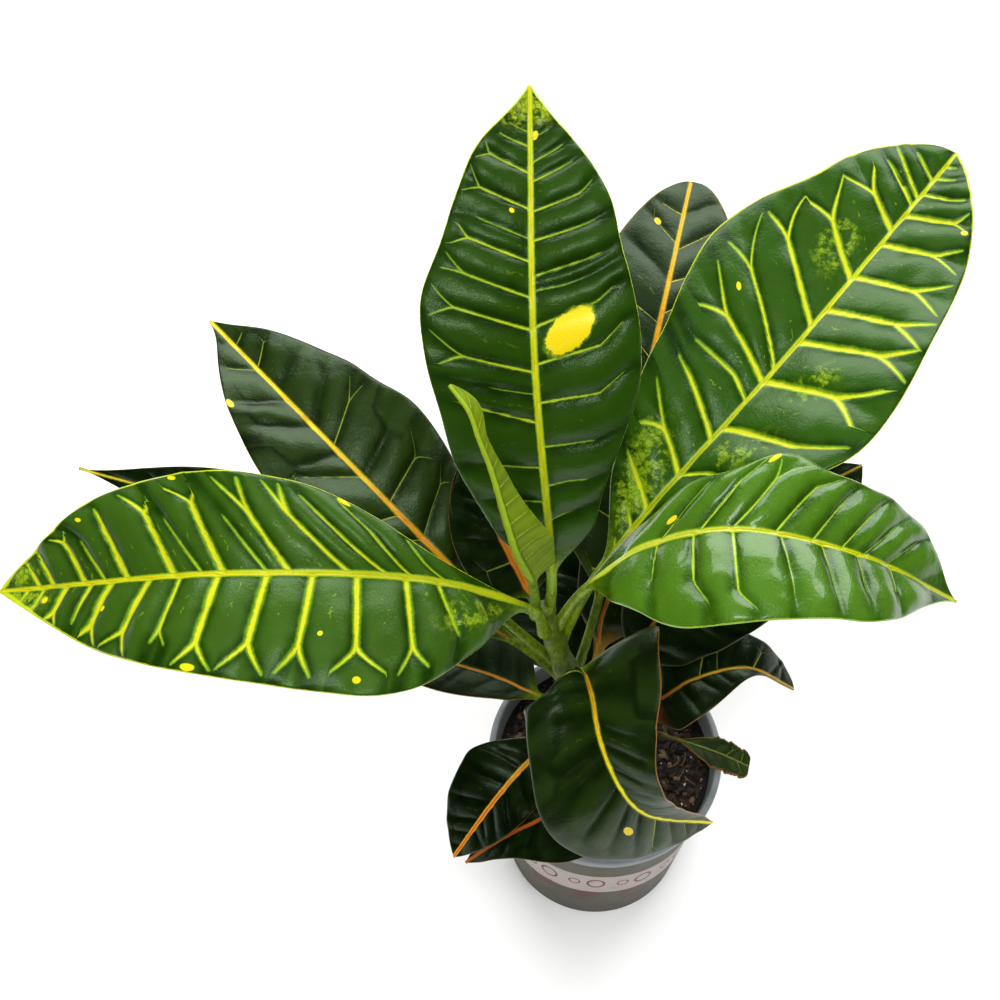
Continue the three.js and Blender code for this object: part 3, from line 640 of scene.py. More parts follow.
leaf(
    "leaf_upper_right", "leaf_bright", route=[(-28, 12, 196), (-10.8, 27.4, 244.6), (67.7, 112.1, 290.6),
        (144.3, 209.8, 312.6)],
    half=(55, 55), peak=(0.55, 0.5), full=(0.6, 0.8), fold=(12, [34, 14]), wave=2.5, waves=2.5,
    sweeps=(0.13, 0.11), coarse=LARGE,
    trim=([0.84, 0.86, 0.9, 0.96, 0.97, 1.06, 1.14, 1.11, 0.99, 1.13, 1.29],
        [0.9, 1.02, 1.02, 1.03, 1.11, 1.06, 1, 0.99, 1.06, 1.16, 1.22]),
    lips=([0.15, 0.15, 0.25, 0.45, 0.9, 1.2, 1.2, 2], [0.1, 0.1, 0.15, 0.2, 0.25, 0.35, 0.7, 2]),
    clouds=[(0.12, -0.42, 0.07, 0.3, 0.6), (0.68, -0.28, 0.05, 0.14, 0.36), (0.27, 0.34, 0.04, 0.16, 0.36),
        (0.42, 0.38, 0.04, 0.12, 0.33)],
    veins_left=[(43, 46, 27, 51, 38, 50), (84, 89, 26, 92, 40, 50), (125, 130, 60, 132, 79, 95),
        (207, 210, 49, 178, 229, 77, 80), (291, 292, 56, 289, 70, 75), (382, 375, 25, 334, 65, 60),
        (426, 410, 56, 371, 437, 78, 85), (455, 500, 60, 489, 556, 81, 60), (558, 595, 56, 585, 649, 78, 95),
        (673, 693, 47, 649, 742, 79, 95), (796, 800, 43, 742, 848, 82, 95), (861, 869, 53, 868, 66, 60),
        (878, 899, 62, 904, 88, 50), (924, 934, 50, 935, 61, 40)],
    veins_right=[(210, 219, 28, 216, 42, 50), (320, 296, 65, 313, 88, 90), (430, 405, 57, 342, 422, 88, 100),
        (523, 492, 65, 450, 498, 91, 95), (600, 563, 61, 506, 556, 91, 95), (681, 643, 60, 588, 652, 88, 95),
        (763, 735, 58, 694, 742, 86, 90), (836, 815, 68, 791, 827, 88, 80), (893, 877, 49, 873, 80, 55),
        (934, 931, 30, 929, 52, 40), (964, 961, 32, 961, 47, 30)],
    look=dict(BRIGHT, blade=("#102a01", "#1d3d02", "#2b5007"), cloud="#7e9a16", vein_scale=1.6,
        marks=[(0.458, -0.6, 1.5, 1.5, 0, 0.4), (0.786, 0.88, 1.6, 1.6, 0, 0.4)]))
leaf(
    "leaf_right", "leaf_glossy", route=[(-30, 10.5, 218), (-18.7, 14.7, 247.5), (5.8, 20.1, 278.1),
        (39.5, 18.1, 298.8), (89.8, 14.8, 288.5), (140.4, 14.8, 249.9)],
    half=(38, 44), peak=(0.55, 0.45), roll=-4, fold=([-16, 12, 12], 12), wave=1.5, sweeps=(0.18, 0.03),
    coarse=LARGE,
    trim=([0.76, 0.85, 0.71, 0.83, 0.75, 0.94, 0.84, 0.92, 1.1, 1.16, 0.35],
        [0.6, 0.87, 1.01, 1.06, 1, 0.92, 0.89, 0.91, 0.83, 0.57, 0.3]),
    lips=([0.35], [0.6]),
    veins_left=[(234, 238, 34, 242, 83, 40), (331, 301, 78, 315, 98, 50), (401, 371, 66, 345, 392, 90, 50),
        (491, 442, 73, 453, 91, 45), (573, 524, 56, 510, 79, 40), (640, 605, 57, 598, 76, 40),
        (692, 689, 42, 683, 59, 30), (758, 771, 39, 770, 57, 25)],
    veins_right=[(234, 216, 38, 211, 49, 35), (321, 319, 54, 342, 73, 55), (405, 402, 68, 429, 84, 55),
        (505, 513, 47, 513, 71, 30), (596, 601, 49, 601, 69, 20), (680, 680, 41, 680, 59, 15),
        (773, 771, 36, 768, 50, 30)],
    look=dict(BRIGHT, blade=("#203f00", "#375f0b", "#4a7318"), vein="#a9c022", thin="#8fb028",
        halo="#5f8c1c", margin="#86aa2a", rib_base="#bcc43c", ragged=0.5, bleed=0.4, small_power=0.15,
        roughness=0.28, coat=0.55, coat_roughness=0.1, relief=0.8,
        marks=[(0.227, -0.36, 1.4, 1.4), (0.328, -0.95, 1.6, 1.6)]))
leaf(
    "leaf_left", "leaf_bright", route=[(-34.5, 5, 226), (-41.1, 1, 254), (-82.5, -2.3, 283.2),
        (-158.5, -8.6, 295.6), (-266.4, 2.4, 250.3)],
    half=(47, 43), peak=(0.47, 0.6), roll=10, wave=2, waves=3, sweeps=(0.04, 0.15), coarse=LARGE,
    trim=([0.7, 1.02, 1.25, 1.23, 1.09, 0.99, 0.96, 0.94, 0.92, 0.83, 0.71],
        [0.08, 0.33, 0.52, 0.85, 1, 1, 1, 1.04, 1.1, 1.05, 1.13]),
    lips=([0.12, 0.15, 0.2, 0.3, 0.4, 0.6, 0.9, 1.4, 4], [0.15, 0.2, 0.3, 0.4, 0.5, 0.7, 1, 1.4, 4]),
    clouds=[(0.13, -0.4, 0.05, 0.2, 0.38), (0.93, -0.5, 0.04, 0.35, 0.6), (0.94, 0.5, 0.04, 0.3, 0.4)],
    veins_left=[(199, 161, 47, 149, 62, 40), (254, 229, 63, 205, 244, 81, 70),
        (336, 320, 62, 277, 346, 81, 85), (407, 405, 64, 385, 423, 85, 80), (480, 477, 65, 451, 501, 88, 95),
        (560, 552, 69, 524, 569, 90, 100), (627, 623, 60, 605, 625, 73, 50),
        (683, 693, 66, 675, 730, 91, 110), (760, 765, 65, 749, 783, 89, 125), (803, 806, 50, 807, 72, 60),
        (853, 855, 63, 842, 863, 89, 100), (903, 904, 54, 901, 906, 87, 70), (937, 939, 58, 938, 86, 50)],
    veins_right=[(169, 175, 54, 174, 90, 45), (236, 239, 70, 256, 91, 50), (278, 305, 58, 317, 80, 70),
        (343, 362, 63, 344, 363, 88, 80), (442, 426, 58, 405, 438, 88, 85), (478, 474, 32, 472, 54, 30),
        (551, 508, 70, 466, 541, 87, 100), (586, 583, 34, 580, 54, 30), (637, 608, 64, 562, 625, 84, 110),
        (728, 706, 62, 697, 80, 110), (773, 773, 32, 770, 52, 35), (816, 801, 65, 775, 811, 80, 100),
        (883, 875, 57, 865, 87, 80), (913, 909, 58, 902, 83, 70)],
    look=dict(BRIGHT, blade=("#132d00", "#224204", "#385a12"), cloud="#86a018", rib_tip="#c4be10",
        rib_width=1.9, vein_scale=1.5,
        marks=[(0.312, -0.88, 1.6, 1.5), (0.548, -0.95, 2.8, 1.6), (0.751, -0.42, 1.3, 1.3),
            (0.883, -0.44, 1.6, 1.6), (0.377, -0.54, 1, 1), (0.734, 0.8, 1.3, 1.3), (0.25, 0.96, 2, 1),
            (0.51, 0.96, 1.8, 1)]))
leaf(
    "leaf_rolled", "leaf_young", route=[(-38.5, 8.5, 235), (-41, 9, 263), (-49, 7, 296), (-55, 14, 318),
        (-60, 21, 335), (-65, 26, 349), (-69, 32, 358), (-77, 42, 361)],
    facing=-60, half=(15, 7), peak=(0.28, 0.28), full=([0.5, 1.6, 1, 0.6], [0.6, 1.2, 0.8]), fold=(5, 95),
    curl=(-10, 0), sweeps=(-0.08, -0.08), veins=9, quilt=0.5, stalk=2, wave=0.9, waves=3.5,
    trim=([1, 1.05, 1.08, 1, 0.86, 0.7, 0.58, 0.5, 0.6, 1.1, 1.2], [1, 1]),
    veins_left=[(t, t + 50, 50, t + 90, 92, 28) for t in YOUNG_VEINS],
    veins_right=[(t, t + 30, 50, t + 50, 90, 25) for t in YOUNG_VEINS],
    look=dict(BRIGHT, blade=("#3a4c00", "#5c7000", "#768c00"), below="#7c9402", vein="#a4bc2c",
        thin="#98b41e", halo="#708e08", rib_base="#80a018", rib_tip="#94ae24", rib_edge="#6c8a0c",
        rib_width=0.7, shown=1, reach=0.85, vein_width=0.3, bleed=0.3, strong=0.3, small_power=0.15,
        dots=0.05, roughness=0.45, coat=0))
leaf(
    "leaf_dark_left", route=[(-22, 12, 172), (-55.6, 21.7, 210.4), (-129.5, 76.5, 254.7),
        (-190.4, 136.2, 265.1)],
    half=(38, 36), peak=(0.5, 0.5), veins=10, wave=1.5, waves=2.5, quilt=0.9,
    trim=([0.74, 0.94, 0.96, 0.94, 0.93, 0.92, 0.93, 0.9, 0.89, 0.72, 0.26],
        [0.76, 0.99, 1.03, 1.11, 1.15, 1.14, 1.04, 1.06, 1.07, 1.02, 0.65]),
    look=dict(DARK, blade=("#0a1500", "#152503", "#23350d"), rib_base="#d08a1c", rib_tip="#ddc31e",
        rib_width=1.9, shown=0.45,
        marks=[(0.7, -0.93, 2.8, 1.7), (0.25, -0.35, 1.1, 1.1)]))
leaf(
    "leaf_dark_back", route=[(-19, 14, 150), (-9, 40, 190), (14, 150, 245), (31, 238, 253)],
    half=(37, 34), peak=(0.55, 0.6), full=([0.4, 0.6], [0.8, 0.45]), wave=1.2, veins=10, quilt=0.7,
    lips=([0.2, 0.2, 0.3, 0.6], [0.2, 0.2, 0.4, 0.9]),
    look=dict(DARK, blade=("#081402", "#152208", "#1f2d14"), vein="#d0b81c", thin="#8f9424",
        margin="#a87a1c", rib_base="#d98a12", rib_tip="#eca810", rib_width=2, shown=0.7, ragged=0.7,
        vein_width=0.45, roughness=0.35,
        marks=[(0.84, -0.5, 2, 2)]))
leaf(
    "leaf_dark_inner", route=[(-25, 12, 188), (-40, 27, 216), (-60, 53, 248), (-68, 84, 268)],
    half=(22, 26), peak=(0.4, 0.45), full=([0.5, 1], [0.4, 0.8]), veins=7,
    look=dict(DARK, rib_base="#d8841c", rib_tip="#c8501a", rib_edge="#c46a1a", rib_edge_power=1,
        rib_width=2.3, shown=0.2))
leaf(
    "leaf_dark_far_left", route=[(-18, 12, 154), (-46, 25, 174), (-150, 63, 203), (-260, 107, 180)],
    half=(22, 21), peak=(0.42, 0.4), full=([0.9, 1.3], [0.9, 1.3]), roll=30, veins=9,
    trim=([1, 1], [1, 1, 1, 1, 1, 1, 1.1, 1.25, 1.4, 1.5, 1.5]),
    look=dict(DARK, rib_tip="#d8cc1c"))
leaf(
    "leaf_dark_under_left", route=[(-17, 12, 136), (-34, 5, 158), (-55, 12, 163), (-95, 24, 160),
        (-135, 36, 148)],
    half=(16, 22), peak=(0.45, 0.4), full=(0.8, [0.4, 0.8]), veins=8, quilt=0.8,
    look=dict(DARK, rib_width=0.8, shown=0.15, roughness=0.5, specular=0.3))
leaf(
    "leaf_front", route=[(-21, 12, 162), (-18, 6, 178), (-16, 3, 191), (-12, -11, 197), (-8, -29, 191),
        (2, -45, 175), (14, -50, 158), (49, -41, 125)],
    blade_from=2, neck=0.05, facing=-40, half=(45, 38), peak=(0.03, 0.45), quilt=0.5, shoulder=(0, 3, 15),
    full=([1.8, 1.05, 0.8, 0.8], [0.3, 0.9]), roll=-8, fold=([22, 52, 58, 45, 20], 5), curl=(-25, -40),
    veins=12, coarse=LARGE,
    trim=([1, 1], [0.6, 1.05, 0.95, 0.95, 1, 1, 0.88, 0.78, 0.8, 0.8, 0.8]),
    lips=([0.5], [0.08]),
    look=dict(DARK, blade=("#071101", "#102002", "#1f3109"), rib_base="#dc9a14", rib_tip="#e6dc1e",
        rib_dark="#c8c01c", rib_turn=0.4, rib_width=1.7, shown=0.1, coat=0.1,
        marks=[(0.575, 0.35, 2.8, 1.9)]))
leaf(
    "leaf_low_left", route=[(-14, 12, 125), (-24.8, -8, 135), (-38, -19.6, 138.2), (-51.9, -35.1, 132.3),
        (-71.6, -55.5, 105.7)],
    half=(18, 24), peak=(0.42, 0.42), full=(0.8, [0.5, 0.9]), veins=8, quilt=0.8,
    trim=([1, 1], [0.21, 0.45, 0.63, 0.86, 1.02, 1.01, 1.02, 1.09, 1.16, 1.25, 1.35]),
    look=dict(DARK, rib_base="#d6981c", rib_tip="#cf4f1a", rib_edge="#d9a81c", rib_edge_power=1,
        rib_turn=0.5, rib_width=1.3, shown=0.1, dots=0.35))
leaf(
    "leaf_low_left_under", route=[(-12, 11, 112), (-5, -24, 137), (-26.9, -42.8, 134), (-47.7, -51.7, 124.4),
        (-65.8, -58.1, 105.9)],
    half=(20, 9.5), peak=(0.45, 0.45), veins=7, quilt=0.6,
    trim=([0.63, 1.03, 1.3, 1.45, 1.27, 1.01, 0.78, 0.64, 0.55, 0.56, 0.52], [1, 1]),
    look=dict(DARK, vein="#8a4a1c", halo="#5a3a14", rib_base="#b9461c", rib_tip="#b03c1c",
        rib_edge="#a8641c", rib_width=1, shown=0.3))
leaf(
    "leaf_low_right", route=[(-14, 12, 128), (19, 12, 150), (23, 9, 152), (36, 14, 162), (61, 20, 166),
        (87, 20, 145)],
    half=(23, 21), peak=(0.45, 0.18), full=([0.3, 0.6], [0.5, 3]), veins=8, quilt=0.6,
    trim=([1, 1, 1, 1, 0.95, 0.88, 0.82, 0.82, 0.88, 0.95, 1], [1, 1]),
    look=dict(DARK, rib_base="#b5451c", rib_tip="#dc9e1c", rib_turn=0.4, rib_width=1, stalk="#b5451c",
        stalk_dark="#8c3a1a"))
leaf(
    "leaf_dark_right", route=[(-17, 13, 142), (5, 22, 161), (24, 42, 185), (56, 68, 212), (109, 94, 230)],
    half=(26, 41), peak=(0.45, 0.52), full=(0.8, [0.5, 0.8]), roll=-10, veins=9,
    trim=([1, 1], [1, 1, 1, 1, 1, 1, 1.05, 1.1, 1.15, 1.2, 1.2]),
    look=dict(DARK, shown=0.2))
leaf(
    "leaf_dark_behind", route=[(-14, 13, 130), (-6, 34, 150), (-5, 46, 168), (30, 113, 192), (62, 182, 190)],
    half=(29, 30), peak=(0.5, 0.4), full=(0.8, [0.45, 0.8]), fold=(12, -2), wave=1.2, veins=9,
    look=dict(DARK, stalk="#b98a1e", stalk_dark="#8f6a1a"))
leaf(
    "leaf_dark_low_back", route=[(-12, 13, 116), (-8, 24, 128), (-8, 72, 152), (-12, 132, 156)],
    half=(33, 33), peak=(0.4, 0.4), full=([0.4, 0.8], [0.4, 0.8]), veins=7,
    trim=([1.2, 1.5, 1.62, 1.6, 1.5, 1.35, 1.2, 1.1, 1, 1, 1], [1, 1]),
    look=DARK)
leaf(
    "leaf_torn", "leaf_olive", route=[(-10, 12, 106), (26, 5.2, 119), (39.5, -0.4, 123), (53.6, -4.7, 122),
        (68.8, -7.6, 114)],
    half=(9, 10.5), peak=(0.72, 0.72), full=([1.2, 0.25], [1.2, 0.25]), veins=6, quilt=0.4, stalk=1.6,
    tatter=0.16,
    lips=([0.4, 1.4], [0.4, 1.4]),
    look=dict(DARK, blade=("#14200a", "#26360f", "#3a4a1e"), margin="#6f4a26", rib_base="#7d8440",
        rib_tip="#8f8f3c", rib_edge="#5c6a2c", rib_width=0.45, stalk="#55501f", stalk_dark="#3a3617",
        roughness=0.45, coat=0, specular=0.25))


def stem_axis_distance(points):
    """Distance from the stem's axis, and the stem's radius there."""
    t = np.linspace(0, 1, STEM_SAMPLES)
    axis = spline(STEM_ROUTE, t)
    gaps = np.linalg.norm(points[:, None] - axis[None], axis=2)
    return gaps.min(axis=1), along(STEM_RADIUS, t[np.argmin(gaps, axis=1)])


class Leaf:
    """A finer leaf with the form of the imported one: a grid with rows along it and columns across it."""

    def __init__(self, s):
        self.s = s
        self.start = s["blade_from"] / (len(s["route"]) - 1)
        self.samples = spline(s["route"], np.linspace(self.start, 1, SPINE_SAMPLES + 1))
        steps = np.linalg.norm(np.diff(self.samples, axis=0), axis=1)
        self.lengths = np.concatenate([[0], np.cumsum(steps)])
        self.whole = self.lengths[-1]
        reach = self.samples[-1] - self.samples[0]
        facing = math.atan2(reach[1], reach[0]) if s["facing"] is None else math.radians(s["facing"])
        self.sideways = np.array([math.sin(facing), -math.cos(facing), 0])
        self.row_t = np.linspace(0, 1, s["veins"] * STEPS_A_VEIN + 1)
        self.thin = 1 - RIB_TAPER * self.row_t
        self.rib = [np.minimum(RIB_HALF_WIDTH * self.thin / self.half_width(self.row_t, k), RIB_SHARE)
                    for k in (0, 1)]
        left, right = (half_columns(share) for share in self.rib)
        self.across = np.concatenate([-left[:, ::-1], np.zeros((len(left), 1)), right], axis=1)
        rows, count = self.across.shape
        self.tau = np.repeat(self.row_t[:, None], count, axis=1)
        self.left = np.repeat(np.arange(count)[None, :] < count // 2, rows, axis=0)
        self.away = np.abs(self.across)
        sweep = self.by_half(s["sweeps"], self.tau)
        self.t = np.clip(self.tau + sweep * 4 * self.tau * (1 - self.tau) * self.away, 0, 1)
        self.width = np.where(self.left, self.half_width(self.t, 0), self.half_width(self.t, 1))
        if s["tatter"]:
            torn = chance(np.floor(self.t * 17), 5) + chance(np.floor(self.t * 41 + 3), 8) * 0.5
            self.width = self.width * (1 - s["tatter"] * torn * fade(self.t, 0.35, 0.6))
        self.listed = "veins_left" in s
        fields = []
        for half in ("left", "right"):
            veins = listed_veins(s["veins_" + half]) if self.listed else seeded_veins(s, half)
            fields.append(vein_field(veins, self.tau, self.away, self.whole))
        merged = (np.where(self.left, *pair) for pair in zip(*fields))
        self.vein, self.step, self.opening, self.thick, self.deep = merged

    def by_half(self, values, t):
        """Values given for the left and the right half, over the grid."""
        return np.where(self.left, along(values[0], t), along(values[1], t))

    def half_width(self, t, k):
        """Width of the left (0) or right (1) half of the blade."""
        bend = math.log(0.5) / math.log(self.s["peak"][k])
        swell = np.maximum(np.sin(np.pi * np.clip(t, 0, 1) ** bend), 0)
        trim = smooth_list(self.s["trim"][k], np.clip(t, 0, 1))
        return np.maximum(self.s["half"][k] * swell ** along(self.s["full"][k], t) * trim, TIP_HALF_WIDTH)

    def spine(self, t):
        """Points at shares t of the blade's length."""
        wanted = np.clip(t, 0, 1) * self.whole
        return np.stack([np.interp(wanted, self.lengths, self.samples[:, k]) for k in range(3)], axis=-1)

    def turned(self, tangent, roll):
        """Directions across the blade and up from it."""
        side = unit(self.sideways - dot(tangent, self.sideways) * tangent)
        up = np.cross(side, tangent)
        roll = np.radians(roll)[..., None]
        return side * np.cos(roll) + up * np.sin(roll), up * np.cos(roll) - side * np.sin(roll)

    def spine_frame(self, t):
        """Points of the spine, with the directions across the blade and up from it."""
        tangent = unit(self.spine(t + TANGENT_STEP) - self.spine(t - TANGENT_STEP))
        return (self.spine(t), *self.turned(tangent, along(self.s["roll"], t)))

    def folded(self):
        """The folded and curled sheet between the two faces, and its normals."""
        line, side, up = self.spine_frame(self.t)
        fold = np.radians(self.by_half(self.s["fold"], self.t))
        bend = np.radians(self.by_half(self.s["curl"], self.t) + 0.001) / self.by_half(self.s["half"], self.t)
        angle = fold + bend * self.away * self.width
        out = (np.sin(angle) - np.sin(fold)) / bend
        rise = (np.cos(fold) - np.cos(angle)) / bend
        sign = np.where(self.left, -1.0, 1.0)
        normal = up * np.cos(angle)[..., None] - side * (sign * np.sin(angle))[..., None]
        return line + side * (sign * out)[..., None] + up * rise[..., None], normal

    def relief(self, sheet):
        """Height of the pillows, creases and waves over the sheet, and how strong the crease is."""
        s, away, vein, width = self.s, self.away, self.vein, self.width
        offset = np.abs(vein - np.floor(vein + 0.5)) * self.step
        distance = np.abs(offset - self.opening)
        between = np.sin(np.pi * (vein - np.floor(vein))) ** 0.8 * np.clip(self.step / 13, 0.3, 1.3)
        pillow = np.maximum(np.sin(np.pi * away), 0) ** 0.55 * np.minimum(1, width / 20)
        uneven = 0.8 + 0.5 * chance(np.floor(vein) + self.left * 17, 7)
        lumps = np.reshape([noise.noise(Vector(q) * 0.11) for q in sheet.reshape(-1, 3)], away.shape)
        lift = s["quilt"] * pillow * (PILLOW_HEIGHT * between * uneven + LUMP_HEIGHT * lumps)
        crease = np.exp(-(distance / CREASE_WIDTH) ** 2) * self.deep
        crease = crease * fade(away, 1.0, 0.85) * np.minimum(1, width / 12)
        lift = lift - (LISTED_CREASE if self.listed else SEEDED_CREASE) * crease
        flare = away ** 2.5 * np.minimum(1, width / 15)
        ripple = np.sin(FULL_TURN * (s["waves"] * self.tau + 0.5 * self.left)) * flare
        frill = np.sin(np.pi * vein + 2 * self.left + 1.3 * np.sin(vein)) * flare
        return lift + s["wave"] * ripple + FRILL_HEIGHT * frill, crease

    def surfaces(self):
        """Points of the upper and the lower face, with the midrib proud and the margins rounded off."""
        away = self.away
        sheet, normal = self.folded()
        lift, crease = self.relief(sheet)
        bulge = np.maximum(np.sin(np.pi * away), 0) ** 0.7 + 0.45 * away ** 2
        bulge = ~self.left * np.exp(-(self.tau / SHOULDER_SHARE) ** 2) * bulge
        sheet = sheet + np.array(self.s["shoulder"]) * bulge[..., None] + normal * lift[..., None]
        position = np.clip(away / np.where(self.left, self.rib[0][:, None], self.rib[1][:, None]), 0, 1)
        round_rib = np.sqrt(np.maximum(1 - position ** 2, 0)) * (1 - 0.3 * position) * self.thin[:, None]
        half_thickness = BLADE_THICKNESS / 2 * np.sqrt(np.maximum(1 - fade(away, 0.93, 1.0) ** 2 * 0.75, 0))
        upper = sheet + normal * (half_thickness + RIB_RISE * round_rib)[..., None]
        lower = sheet - normal * (half_thickness + RIB_DEPTH * round_rib + 0.2 * crease)[..., None]
        return upper, lower

    def round_angles(self):
        """Angle of each point in the stalk's round section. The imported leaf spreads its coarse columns
        evenly around it, and the fine ones lie between them."""
        coarse = np.array(self.s["coarse"])
        total = 2 * len(coarse) + 3
        places = []
        for across, near, far in zip(self.across, *self.rib):
            marks = [*-(near + (1 - near) * coarse)[::-1], -near, 0, far, *(far + (1 - far) * coarse)]
            places.append(np.interp(across, marks, np.arange(total)))
        return np.pi * (np.stack(places) + 0.5) / total

    def stalk_sections(self, angles):
        """Centres, directions, radii and angles of the stalk, from just inside the stem's skin."""
        route, start = self.s["route"], self.start
        places = np.linspace(0, start, STALK_SAMPLES)
        gap, radius = stem_axis_distance(spline(route, places))
        outside = places[np.argmax(gap > radius - STALK_SINK)]
        t = np.linspace(outside, start, STALK_ROWS + 1)[:-1]
        direct = unit(spline(route, t + STALK_STEP) - spline(route, np.maximum(t - STALK_STEP, 0)))
        side, up = self.turned(direct, np.full(STALK_ROWS, along(self.s["roll"], np.zeros(1))[0]))
        flared = self.s["stalk"] * (1 + STALK_FLARE * (1 - t / start) ** 2)
        swell_length = STALK_SWELL_SHARE * max(start - outside, 1e-6)
        swollen = 1 + STALK_SWELL * np.exp(-((t - outside) / swell_length) ** 2)
        angles = np.repeat(angles[:1], STALK_ROWS, axis=0)
        return spline(route, t), side, up, (flared * swollen)[:, None], angles

    def points(self):
        """Points of the upper and then of the lower face: the stalk's rows, then the blade's, whose first
        rows turn from the stalk's round section into the flat blade."""
        angles = self.round_angles()
        base = self.spine_frame(self.row_t)
        blend = self.neck()[:, None, None]
        sections = self.stalk_sections(angles)
        parts = []
        for surface, face in zip(self.surfaces(), (1, -1)):
            surface = surface * (1 - blend) + half_rings(*base, self.s["stalk"], angles, face) * blend
            parts += [half_rings(*sections, face), surface]
        return np.concatenate(parts).reshape(-1, 3)

    def neck(self):
        """Share of the stalk's round section in each row of the blade."""
        return 1 - fade(self.row_t, 0, self.s["neck"])

    def attributes(self):
        """What the paint reads at each point: a grid over the blade and a value on the stalk."""
        cloud = np.zeros_like(self.across)
        for at_t, at_u, long, wide, power in self.s["clouds"]:
            spread = ((self.tau - at_t) / long) ** 2 + ((self.across - at_u) / wide) ** 2
            cloud = np.maximum(cloud, power * np.exp(-0.7 * spread))
        rows, count = self.across.shape
        grids = {
            "vein": (self.vein, 0), "step": (self.step, 10), "opening": (self.opening, 0),
            "thick": (self.thick, 0), "across": (self.across, self.across[0]), "length": (self.t, 0),
            "span": (self.width, TIP_HALF_WIDTH), "down": (self.tau * self.whole, 0), "cloud": (cloud, 0),
            "lip": (self.by_half(self.s["lips"], self.t), 0),
            "stalk": (np.repeat(self.neck()[:, None], count, axis=1) ** 1.5, 1),
        }
        values = {"under": np.repeat([0, 1], (STALK_ROWS + rows) * count)}
        for key, (grid, on_stalk) in grids.items():
            column = np.concatenate([np.zeros((STALK_ROWS, count)) + on_stalk, grid])
            values[key] = np.concatenate([column, column])
        return values

    def faces(self):
        """Faces of the upper and the lower grid, of both margins and of both ends."""
        rows, count = self.across.shape
        rows += STALK_ROWS
        numbers = np.arange(rows * count).reshape(rows, count)
        a, b = numbers[:-1, :-1].ravel(), numbers[:-1, 1:].ravel()
        c, d = numbers[1:, 1:].ravel(), numbers[1:, :-1].ravel()
        low = rows * count
        first, last = numbers[:, 0], numbers[:, -1]
        faces = np.concatenate([
            np.stack([a, b, c, d], 1), np.stack([a, d, c, b], 1) + low,
            np.stack([first[:-1], first[1:], first[1:] + low, first[:-1] + low], 1),
            np.stack([last[:-1], last[:-1] + low, last[1:] + low, last[1:]], 1),
        ]).tolist()
        for row, direction in ((0, -1), (rows - 1, 1)):
            cap = [*numbers[row], *(numbers[row][::-1] + low)]
            faces.append([int(k) for k in cap[::direction]])
        return faces


def half_columns(share):
    """Places across half a blade, from its midrib, which takes the given share, to its margin at 1."""
    even = np.linspace(0, 1, FINE_STEPS + 1)[1:]
    outer = 0.5 * even + 0.5 * np.sin(even * np.pi / 2)
    inner = [share * part for part in RIB_PARTS]
    return np.stack(inner + [share + (1 - share) * c for c in outer], axis=1)


def half_rings(centres, sides, ups, radius, angles, face):
    """Half of the stalk's round section around each centre: the upper one for face 1, the lower for -1."""
    x = -radius * np.cos(angles)
    y = radius * np.sin(angles) * face
    return centres[:, None] + sides[:, None] * x[..., None] + ups[:, None] * y[..., None]


def leaf_piece(shape):
    finer = Leaf(shape)
    paint = leaf_paint("paint_" + shape["name"], shape["look"], finer.whole)
    make_piece(shape["name"] + "_blade", finer.points(), finer.faces(), paint, shape["name"],
               finer.attributes())


for shape in LEAVES:
    leaf_piece(shape)


# Stem

def stem_piece():
    t = np.linspace(0, 1, STEM_ROWS)
    axis = spline(STEM_ROUTE, t)
    radii = along(STEM_RADIUS, t) + 0.35 * np.cos(FULL_TURN * STEM_SWELLS * t)
    points, faces = tube(axis, np.repeat(radii[:, None], STEM_SIDES, axis=1), STEM_SIDES)
    grid = points.reshape(STEM_ROWS, STEM_SIDES, 3)
    outward = unit(grid - axis[:, None])
    for shape in LEAVES:
        line = spline(shape["route"], np.linspace(0, 0.5, STEM_SAMPLES))
        gap, radius = stem_axis_distance(line)
        joint = line[np.argmax(gap > radius)]
        near = np.linalg.norm(grid - joint, axis=2)
        grid = grid + outward * (KNUCKLE_RISE * np.exp(-(near / KNUCKLE_REACH) ** 2))[..., None]
        scar = np.exp(-((near - SCAR_RADIUS) / SCAR_WIDTH) ** 2) * (grid[..., 2] < joint[2])
        grid = grid - outward * (SCAR_DEPTH * scar)[..., None]
    bumps = [noise.noise(Vector(q) * 0.18) + 0.5 * noise.noise(Vector(q) * 0.5) for q in grid.reshape(-1, 3)]
    grid = grid + outward * (0.1 * np.reshape(bumps, (STEM_ROWS, STEM_SIDES)))[..., None]
    p = Paint("paint_stem")
    height = p.axis("Z")
    rough, fine = p.noise(9, 4.0) - 0.5, p.noise(1.5, 3.0, stretch=(1, 1, 0.35)) - 0.5
    young = p.mix(fade(rough, -0.2, 0.25), "#3c4e02", "#66800a")
    woody = p.mix(fade(rough + fine, -0.25, 0.3), "#26280a", "#4a4c1e")
    tint = p.mix(fade(height + rough * 50, 118, 160), woody, young)
    tint = p.mix(fade(fine, 0.12, 0.24) * 0.6, tint, "#7c8636")
    material = p.finish(tint, fine * 0.3 + 0.48, fine * 0.8 + rough * 0.5)
    make_piece("stem_bark", grid.reshape(-1, 3), faces, material, "stem")


stem_piece()


# Pot

def rounded(outline, steps=4):
    """Outline with each corner replaced by a small arc: corners given as (radius, height, rounding)."""
    out = []
    for k, (x, y, size) in enumerate(outline):
        if size == 0:
            out.append((x, y))
            continue
        here = np.array([x, y], float)
        before = np.array(outline[k - 1][:2], float)
        after = np.array(outline[(k + 1) % len(outline)][:2], float)
        start = here + unit(before - here) * size
        end = here + unit(after - here) * size
        for f in np.linspace(0, 1, steps + 1):
            out.append(tuple((1 - f) ** 2 * start + 2 * f * (1 - f) * here + f ** 2 * end))
    return out


